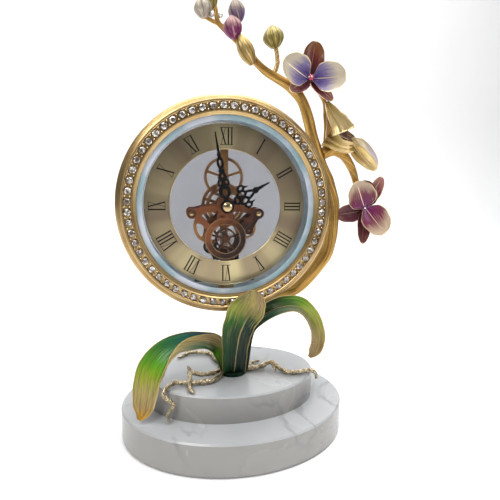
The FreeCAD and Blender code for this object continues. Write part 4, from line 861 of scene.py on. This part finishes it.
CUP_BODY = [
    (76.6, -3.4, 257, 17, 0, -1, 0), (82.5, -5, 253, 13.5, 0, -1, 0.1),
    (89.5, -5.8, 249.8, 10.5, 0, -1, 0.1), (96, -5.6, 249, 10, 0, -1, 0.1),
    (102, -5, 250, 6, 0, -1, 0.1)]
SIDE_BODY = [
    (77, -1.5, 283, 2, 0, -1, 0), (79, -2.5, 275, 6, 0, -1, 0),
    (80.5, -3, 266, 9, 0, -1, 0), (80.5, -3, 258, 10, 0, -1, 0),
    (79, -3, 250, 6, 0, -1, 0)]
THROAT = [
    (79.5, -2.2, 261.8, 5, 0, -1, 0.1), (86.5, -0.8, 260, 12, 0, -1, 0.1),
    (93.5, -0.8, 257, 15, 0, -1, 0.1), (101, -2.4, 254, 10, 0, -1, 0.1)]
# level of a root that lies on the base; the roots' own heights are counted from it
ROOT_Z = 53.3
LEFT_ROOT = [
    (-11.5, -8.5, 0, 2.5), (-19.2, -19, 0.4, 2.3), (-26.5, -21.5, 0, 2.3),
    (-35.7, -22, 0.2, 2.1), (-43, -21.8, 0.4, 2.1), (-51.6, -20.6, 0.8, 2.1),
    (-56.2, -25.6, 1, 1.9), (-60.5, -32.5, 0.8, 1.9), (-60.8, -34.8, -2.8, 1.8),
    (-55, -36.6, -7.5, 1.9), (-53.2, -37.2, -10.5, 1.7), (-57.6, -37.6, -16.3, 1.5),
    (-57, -38, -23, 1.1)]
CROSSING_ROOT = [
    (-11.7, -1.6, 0, 2.3), (-19, -8.6, 1.2, 2.1), (-28, -12.8, 2.4, 2),
    (-36.8, -12.6, 4.4, 2), (-40, -12.4, 5.2, 2), (-39.7, -20, 4.8, 1.9),
    (-40.8, -27.9, 1.8, 1.8), (-39.4, -33.8, 0.2, 1.7), (-36.8, -37.2, -0.8, 1)]
CROSSING_SPUR = [(-38.6, -11.6, 5, 1.8), (-41.2, -8.4, 8.4, 1.1)]
BACK_ROOT = [
    (-9.5, 13, 0, 2.1), (-15.6, 24.2, 0, 2.1), (-17, 33.5, -0.2, 2),
    (-24.7, 37.6, 0, 1.8), (-37, 39.5, 0, 1.7), (-43.6, 35.5, -0.4, 1.6),
    (-49.8, 31, -0.8, 1)]
RIGHT_ROOT = [
    (9.5, -1.2, 0, 2.6), (17.4, -2.4, 0.4, 2.4), (25.7, -0.8, 1, 2.3),
    (30.2, 1.2, 2.2, 2.1), (34.2, 0.8, 3.2, 2.1), (37.6, -3, 2.4, 2.1),
    (41, -8, 0.6, 2), (46.2, -14.6, 0.2, 2.1), (55.4, -15.2, 0, 2),
    (66.5, -14.6, 0.4, 1.9), (70.4, -17.4, -0.6, 1.7), (71.3, -19.6, -5.4, 1.1)]
RIGHT_SPURS = [
    [(34.6, 0.4, 2.6, 1.7), (36, -4.6, 1.2, 1.5), (36.3, -9.2, -0.4, 0.9)],
    [(14, 1, 0.3, 1.9), (18, 8.6, 0.4, 1.7), (25.5, 12.5, -0.4, 1.1)]]


def stem_relief(distance, angle):
    """Knots and long shallow flutes of a cast stem."""
    flute = 0.05 * math.cos(5 * angle + 40 * distance)
    knot = 0.06 * math.sin(190 * distance) * math.sin(2 * angle + 60 * distance)
    return flute + knot


def root_relief(distance, angle):
    """Lumpy twig."""
    return 0.1 * math.sin(520 * distance + 2 * angle) + 0.07 * math.sin(950 * distance - angle)


def make_stems():
    """Stem, flower stalks and the two short twigs to the buds."""
    gold = bark_gold("stem_gold", (0.5, 0.3, 0.08), (0.26, 0.13, 0.03), 5, 9, 0.34)
    for name, route, node in (
            ("stem", STEM, "orchid_stem"),
            ("stalk_upper", UPPER_STALK, "upper_flower_stalk"),
            ("stalk_lower", LOWER_STALK, "lower_flower_stalk"),
            ("twig_silver_bud", SILVER_TWIG, None),
            ("twig_cream_bud", CREAM_TWIG, None)):
        piece = limb(name, route, gold, stem_relief)
        if node:
            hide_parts(node)


def make_roots():
    """Twig-like roots that creep over the marble and down its edges."""
    bark = bark_gold("twig_gold", (0.66, 0.56, 0.38), (0.07, 0.045, 0.022), 30, 120, 0.22)
    for name, route, node in (
            ("root_left", LEFT_ROOT, "left_roots"),
            ("root_crossing", CROSSING_ROOT, None),
            ("root_crossing_spur", CROSSING_SPUR, None),
            ("root_back", BACK_ROOT, None),
            ("root_right_0", RIGHT_ROOT, "right_root"),
            ("root_right_1", RIGHT_SPURS[0], None),
            ("root_right_2", RIGHT_SPURS[1], None)):
        stations = [(x, y, ROOT_Z + height, radius) for x, y, height, radius in route]
        piece = limb(name, stations, bark, root_relief, steps=12, sides=18)
        if node:
            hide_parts(node)


def make_leaves():
    """Three enamelled leaves. Each list of colours or heights runs from the foot to the tip."""
    black_teal, deep, green = (0.002, 0.022, 0.016), (0.004, 0.04, 0.012), (0.02, 0.115, 0.004)
    teal, blue = (0.003, 0.085, 0.06), (0.004, 0.03, 0.05)
    bright, lime = (0.085, 0.28, 0.006), (0.25, 0.31, 0.02)
    olive, straw, tan = (0.16, 0.165, 0.02), (0.36, 0.29, 0.09), (0.3, 0.205, 0.085)
    amber = (0.56, 0.3, 0.02)
    central = leaf_enamel(
        "leaf_central",
        inner=[(0, black_teal), (0.36, deep), (0.46, green), (0.54, olive), (0.72, (0.3, 0.24, 0.055)),
               (0.95, straw)],
        inner_edge=[(0, deep), (0.32, (0.006, 0.06, 0.012)), (0.44, green), (0.54, lime), (0.74, olive),
                    (0.95, tan)],
        outer=[(0, (0.002, 0.018, 0.018)), (0.4, black_teal), (0.5, deep), (0.58, olive), (0.75, tan),
               (0.95, tan)],
        crease=[(0, 0.52), (0.45, 0.66), (1, 0.72)],
        line_share=[(0, 1), (0.4, 0.9), (0.55, 0.1), (1, 0)],
        fibre=[(0, 0.05), (0.3, 0.12), (0.5, 0.65), (1, 0.9)])
    # The near-black and deep greens that open the right leaf's three colour runs are green enamel darkened by
    # painted shadow under the bezel.
    right = leaf_enamel(
        "leaf_right",
        inner=[(0, deep), (0.34, deep), (0.46, green), (0.56, lime), (0.68, olive), (0.8, tan), (0.95, tan)],
        inner_edge=[(0, black_teal), (0.38, deep), (0.5, bright), (0.62, lime), (0.74, straw),
                    (0.84, (0.19, 0.11, 0.04)), (0.95, tan)],
        outer=[(0, black_teal), (0.34, (0.01, 0.07, 0.05)), (0.46, (0.1, 0.14, 0.06)),
               (0.62, (0.2, 0.19, 0.08)), (0.8, tan), (0.95, tan)],
        crease=[(0, 0.45), (0.35, 0.55), (0.6, 0.66), (0.8, 0.85), (1, 0.95)],
        line_share=[(0, 1), (0.6, 1), (0.72, 0.2), (1, 0)],
        fibre=[(0.2, 0.1), (0.5, 0.35), (0.7, 0.6), (1, 0.9)])
    left = leaf_enamel(
        "leaf_left",
        inner=[(0, olive), (0.12, (0.24, 0.2, 0.05)), (0.3, tan), (0.5, straw), (0.95, tan)],
        inner_edge=[(0, deep), (0.14, bright), (0.24, deep), (0.36, (0.02, 0.1, 0.05)), (0.52, tan)],
        # The blue and teal that open the left leaf's outer run are a painted blue-teal highlight on the dark
        # green enamel.
        outer=[(0, blue), (0.34, blue), (0.43, teal), (0.53, (0.006, 0.13, 0.02)), (0.63, bright),
               (0.71, lime), (0.79, straw), (0.88, (0.33, 0.22, 0.08)), (0.96, amber)],
        crease=[(0, 0.98), (0.25, 0.95), (0.33, 0.86), (0.42, 0.64), (0.5, 0.28), (0.58, 0.07), (1, 0.03)],
        line_share=[(0, 1), (1, 1)],
        fibre=[(0, 0.45), (0.35, 0.45), (0.45, 0.06), (0.64, 0.12), (0.76, 0.8), (1, 1)])
    for name, node, route, material, crease in (
            ("leaf_middle", "central_leaf", CENTRAL_LEAF, central, lambda t: 0.52 + 0.2 * t),
            ("leaf_on_right", "right_leaf", RIGHT_LEAF, right, lambda t: 0.45 + 0.5 * t),
            ("leaf_on_left", "left_leaf", LEFT_LEAF, left,
             lambda t: 0.97 - 0.92 * min(1, max(0, 4 * t - 1.2)))):
        piece = leaf(name, route, material, 1.6, 0.12, crease)
        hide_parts(node)


def make_flowers():
    """Two open flowers, and the middle one seen from the side: hood, cup, hanging petals and throat."""
    violet = petal_enamel("petal_violet", (0.035, 0.014, 0.13), (0.17, 0.13, 0.27), (0.5, 0.43, 0.32), 0.48)
    maroon = petal_enamel("petal_maroon", (0.03, 0.005, 0.01), (0.11, 0.015, 0.018), (0.17, 0.065, 0.02),
                          0.6, edge_colour=(0.34, 0.22, 0.12))
    rose = petal_enamel("petal_rose", (0.03, 0.004, 0.012), (0.15, 0.02, 0.04), (0.36, 0.16, 0.14), 0.6)
    magenta = petal_enamel("petal_magenta", (0.13, 0.008, 0.085), (0.15, 0.022, 0.05),
                           (0.48, 0.36, 0.25), 0.56)
    plum = petal_enamel("petal_plum", (0.08, 0.006, 0.024), (0.075, 0.01, 0.02), (0.15, 0.045, 0.035),
                        0.7, edge_colour=(0.42, 0.3, 0.2))
    gilt = petal_enamel("petal_gilt", (0.2, 0.115, 0.03), (0.55, 0.38, 0.12), (0.75, 0.56, 0.26), 0.4, 0.85)
    dark = petal_enamel("petal_throat", (0.035, 0.008, 0.012), (0.045, 0.014, 0.012), (0.12, 0.06, 0.03), 0.6)
    silver = petal_enamel("petal_silver", (0.36, 0.25, 0.1), (0.56, 0.46, 0.3), (0.62, 0.54, 0.58),
                          0.45, 0.5)
    for node, shapes, materials, slot_name in (
            ("upper_flower_petals", UPPER_PETALS, [violet, violet], "violet_enamel"),
            ("upper_flower_sepals", UPPER_SEPALS, [maroon, rose, rose], "maroon_enamel"),
            ("lower_flower_petals", LOWER_PETALS, [magenta, magenta], "maroon_enamel"),
            ("lower_flower_sepals", LOWER_SEPALS, [plum, rose, plum, plum], "maroon_enamel"),
            ("middle_flower_petals", HANGING_PETALS, [gilt, silver], "gilt_enamel")):
        for k, ((root, tip, width, facing, lift), material) in enumerate(zip(shapes, materials)):
            piece = petal(node + "_" + str(k), root, tip, width, facing, material, lift)
            if k == 0:
                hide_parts(node)
    hood = leaf("hood", HOOD, gilt, 1.4, 0.12)
    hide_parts("middle_flower_hood")
    cup = leaf("cup_body", CUP_BODY, gilt, 1.6, 0.08)
    side = leaf("side_body", SIDE_BODY, gilt, 1.4, 0.08)
    leaf("throat", THROAT, dark, 1.2, -0.05)


def make_hearts():
    """Jewelled centres of two open flowers: a ball ringed by smaller ones."""
    ruby = cut_crystal("ruby", (0.7, 0.06, 0.16), (0.3, 0.01, 0.05))
    iris = cut_crystal("iris", (0.2, 0.14, 0.45), (0.05, 0.03, 0.16))
    around = 6
    for name, centre, radius, material in (
            ("heart_upper", (60.4, -6.2, 303.2), 2.3, ruby),
            ("heart_lower", (114.6, -5.2, 197.8), 1.3, iris)):
        middle = Vector(centre) * MM
        core = 0.8 * radius * MM
        beads = [(middle, core, 6, 12)]
        for k in range(around):
            angle = 2 * math.pi * k / around
            offset = Vector((math.cos(angle), -0.1, math.sin(angle))) * core
            beads.append((middle + offset, 0.42 * radius * MM, 5, 8))
        bead_cluster(name, beads, material)


def make_bud_stones():
    """Two small white stones under the top bud."""
    white = cut_crystal("bud_stone", (0.6, 0.58, 0.54), (0.2, 0.17, 0.13))
    for name, centre in (("stone_left", (-19.2, 2.2, 347.2)), ("stone_right", (-12.4, 2.2, 347))):
        bead_cluster(name, [(Vector(centre) * MM, 2.4 * MM, 3, 7)], white, False)


def make_buds():
    """Five closed buds, the calyx under the pink one and the stalk of the gold one."""
    gold = bud_enamel("bud_gold", (0.24, 0.19, 0.04), (0.4, 0.32, 0.12), (0.6, 0.5, 0.26), 9, 0.6)
    silver = bud_enamel("bud_silver", (0.38, 0.31, 0.25), (0.46, 0.41, 0.32), (0.62, 0.57, 0.46), 7, 0.2)
    cream = bud_enamel("bud_cream", (0.15, 0.09, 0.17), (0.36, 0.28, 0.21), (0.46, 0.38, 0.3), 5)
    pink = bud_enamel("bud_pink", (0.17, 0.012, 0.085), (0.42, 0.24, 0.22), (0.5, 0.3, 0.3), 5)
    calyx = bud_enamel("bud_calyx_gilt", (0.4, 0.26, 0.08), (0.52, 0.38, 0.15), (0.78, 0.64, 0.36), 5, 0.9)
    stalk = bark_gold("bud_stalk_gold", (0.74, 0.52, 0.22), (0.3, 0.18, 0.06))
    for name, base, tip, radius, material, node, slot_name in (
            ("bud_gold", (32.9, 6, 327.5), (29.2, 6, 344.2), 8.4, gold, "gold_bud", "gilt_enamel"),
            ("bud_pink", (-2, 0, 330.2), (-4.4, 0, 346.8), 7.5, pink, "pink_bud", "pink_enamel"),
            ("bud_cream", (2.5, 6, 344.5), (-1, 6, 361.5), 6.6, cream, "cream_bud", "cream_enamel"),
            ("bud_silver", (-25, 4, 344.6), (-27, 4, 360), 7, silver, "silver_bud", "cream_enamel"),
            ("bud_tip", (-18.5, 6, 352), (-23.5, 6, 371.5), 6.4, gold, "tip_bud", "gilt_enamel"),
            ("bud_calyx", (13.5, 1, 312), (1, 0, 334.5), 6.3, calyx, "bud_calyx", "gilt_enamel")):
        piece = bud(name, base, tip, radius, material)
        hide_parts(node)
    limb("bud_stalk", GOLD_BUD_STALK, stalk, stem_relief)


# ---------------------------------------------------------------- case and movement

def paint(material, *names):
    """Give CAD pieces one material."""
    for name in names:
        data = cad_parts[name].data
        data.materials.clear()
        data.materials.append(material)


def make_case():
    """Materials of the base, case, dial, movement and hands, with the stones and the glass."""
    gold = polished_gold("gilt_polished")
    ringed = turned_gold("gilt_turned", (0.6, 0.43, 0.2))
    paint(ringed, "front_bezel", "rear_ring")
    paint(bronze("root_plate_dark", (0.02, 0.05, 0.025), (0.006, 0.018, 0.012)), "root_plate")
    paint(gold, "dial_foot", "plate_screws", "setting_knob", "hand_nut", "cannon_pinion")
    paint(plain_surface("silvered_band", (0.8, 0.86, 0.9), 0.22, 0.6, 300, 0.01 * MM, 0.12), "case_drum")
    paint(sunray_gold(), "chapter_ring")
    paint(marble(), "base_lower_tier", "base_upper_tier")
    paint(felt(), "felt_pad")
    black = plain_surface("hand_black", (0.003, 0.002, 0.002), 0.5, shine=0.06)
    paint(black, "hour_hand", "minute_hand", "hour_numerals")
    wheel = bronze("wheel_bronze", (0.42, 0.21, 0.075), (0.2, 0.085, 0.03))
    paint(wheel, "third_wheel", "centre_wheel", "spine_bar", "fourth_wheel", "intermediate_wheel",
          "setting_wheel")
    paint(shaded_bridge_plate(), "front_bridge", "back_plate", "minute_wheel", "hour_wheel")
    paint(bronze("barrel_dark", (0.1, 0.045, 0.025), (0.03, 0.018, 0.015), 0.24), "barrel_wheel")
    paint(plain_surface("spring_steel", (0.4, 0.38, 0.36), 0.25, 1), "barrel_spring", "plate_pillars",
          "battery_contacts", "base_bolt")
    paint(plain_surface("motor_iron", (0.09, 0.08, 0.08), 0.4, 0.8), "motor_rotor", "motor_stator")
    paint(plain_surface("copper_winding", (0.5, 0.18, 0.06), 0.35, 0.7, 1400, 0.2 * MM), "motor_coil")
    paint(plain_surface("battery_black", (0.02, 0.02, 0.022), 0.5), "battery_box", "battery_cover")
    paint(plain_surface("battery_jacket", (0.16, 0.17, 0.2), 0.28, 0.3), "battery")
    stones(cut_crystal("cut_crystal", (0.33, 0.29, 0.25), (0.15, 0.115, 0.09)))
    claws(polished_gold("claw_gold", PALE_GOLD, 0.12))
    make_glass()


def make_glass():
    """Front pane with a wide polished bevel along its edge, and the plain rear pane."""
    front, back = glass_low.y, glass_high.y
    edge = (glass_high.x - glass_low.x) / 2
    profile = [(PANE_HOLE, front), (BEVEL_START, front), (edge, front + BEVEL_DROP), (edge, back),
               (PANE_HOLE, back)]
    pane = lathe("front_pane", profile, bevelled_pane())
    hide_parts("front_glass")
    paint(clear_glass("pane_rear", (0.2, 0.22, 0.34), 0.52), "rear_glass")


# ---------------------------------------------------------------- stage

def make_sweep():
    """Pale studio sweep: a flat floor that curves up into a back wall."""
    bend_start = SWEEP_BACK - SWEEP_BEND
    bend_steps = 12
    outline = [(SWEEP_FRONT, -FLOOR_GAP), (bend_start, -FLOOR_GAP)]
    for k in range(1, bend_steps + 1):
        angle = math.pi / 2 * k / bend_steps
        outline.append((bend_start + SWEEP_BEND * math.sin(angle),
                        SWEEP_BEND - SWEEP_BEND * math.cos(angle) - FLOOR_GAP))
    outline.append((SWEEP_BACK, SWEEP_TOP))
    vertices = [(side * SWEEP_HALF, y, z) for y, z in outline for side in (-1, 1)]
    faces = [(2 * k, 2 * k + 1, 2 * k + 3, 2 * k + 2) for k in range(len(outline) - 1)]
    mesh = bpy.data.meshes.new("sweep")
    mesh.from_pydata(vertices, [], faces)
    mesh.polygons.foreach_set("use_smooth", [True] * len(faces))
    sweep = bpy.data.objects.new("sweep", mesh)
    bpy.context.scene.collection.objects.link(sweep)
    n = Nodes("sweep_paint")
    mottle = n.noise(n.place(), 3, 3)
    grey = n.mix(mottle, (0.86, 0.86, 0.86), (0.9, 0.9, 0.9))
    mesh.materials.append(n.set(Base_Color=grey, Roughness=0.7))


def make_sky():
    """Soft room light, brighter from above."""
    world = bpy.data.worlds.new("studio")
    bpy.context.scene.world = world
    world.use_nodes = True
    tree = world.node_tree
    background = tree.nodes["Background"]
    direction = tree.nodes.new("ShaderNodeTexCoord")
    parts = tree.nodes.new("ShaderNodeSeparateXYZ")
    tree.links.new(direction.outputs["Generated"], parts.inputs[0])
    ramp = tree.nodes.new("ShaderNodeValToRGB")
    tree.links.new(parts.outputs[2], ramp.inputs[0])
    tree.links.new(ramp.outputs[0], background.inputs[0])
    low, high = ramp.color_ramp.elements
    low.position = 0.05
    low.color = (0.22, 0.21, 0.2, 1)
    high.position = 0.7
    high.color = (0.85, 0.87, 0.9, 1)
    background.inputs[1].default_value = 0.5


def make_lights():
    """Square soft lights, each given by its place, aim, size, power and colour."""
    clock = (0, 0, 0.2)
    for name, place, aim, size, power, colour in (
            ("key", (-0.7, -0.9, 1.1), clock, 0.55, 8, (1, 0.98, 0.95)),
            ("fill", (0.9, -0.7, 0.5), clock, 0.45, 2.5, (0.95, 0.97, 1)),
            ("top", (0.1, -0.1, 1.3), clock, 0.5, 5, (1, 1, 1)),
            ("rim", (0.7, 0.5, 0.8), clock, 0.4, 3, (1, 1, 1)),
            ("backdrop", (0, 0.2, 1.8), (0, 1.1, 0.3), 2, 30, (1, 1, 1))):
        light = bpy.data.lights.new(name, "AREA")
        light.size = size
        light.energy = power
        light.color = colour
        lamp = bpy.data.objects.new(name, light)
        lamp.location = place
        lamp.rotation_euler = (Vector(aim) - Vector(place)).to_track_quat("-Z", "Y").to_euler()
        bpy.context.scene.collection.objects.link(lamp)


def make_camera():
    """Eye a little left of the clock's middle and above it, turned right and down."""
    turn, down, roll = math.radians(EYE_TURN), math.radians(EYE_DOWN), math.radians(EYE_ROLL)
    forward = Vector((math.sin(turn) * math.cos(down), math.cos(turn) * math.cos(down), -math.sin(down)))
    right = Vector((math.cos(turn), -math.sin(turn), 0))
    up = right.cross(forward)
    right_rolled = right * math.cos(roll) + up * math.sin(roll)
    up_rolled = up * math.cos(roll) - right * math.sin(roll)
    data = bpy.data.cameras.new("camera")
    data.sensor_width = SENSOR
    data.lens = LENS
    data.clip_start = 0.01
    camera = bpy.data.objects.new("camera", data)
    axes = Matrix((right_rolled, up_rolled, -forward)).transposed()
    camera.matrix_world = Matrix.Translation(Vector(EYE) * MM) @ axes.to_4x4()
    bpy.context.scene.collection.objects.link(camera)
    bpy.context.scene.camera = camera


make_case()
make_stems()
make_roots()
make_leaves()
make_flowers()
make_hearts()
make_bud_stones()
make_buds()
make_sweep()
make_sky()
make_lights()
make_camera()
bpy.context.scene.view_settings.view_transform = "Standard"
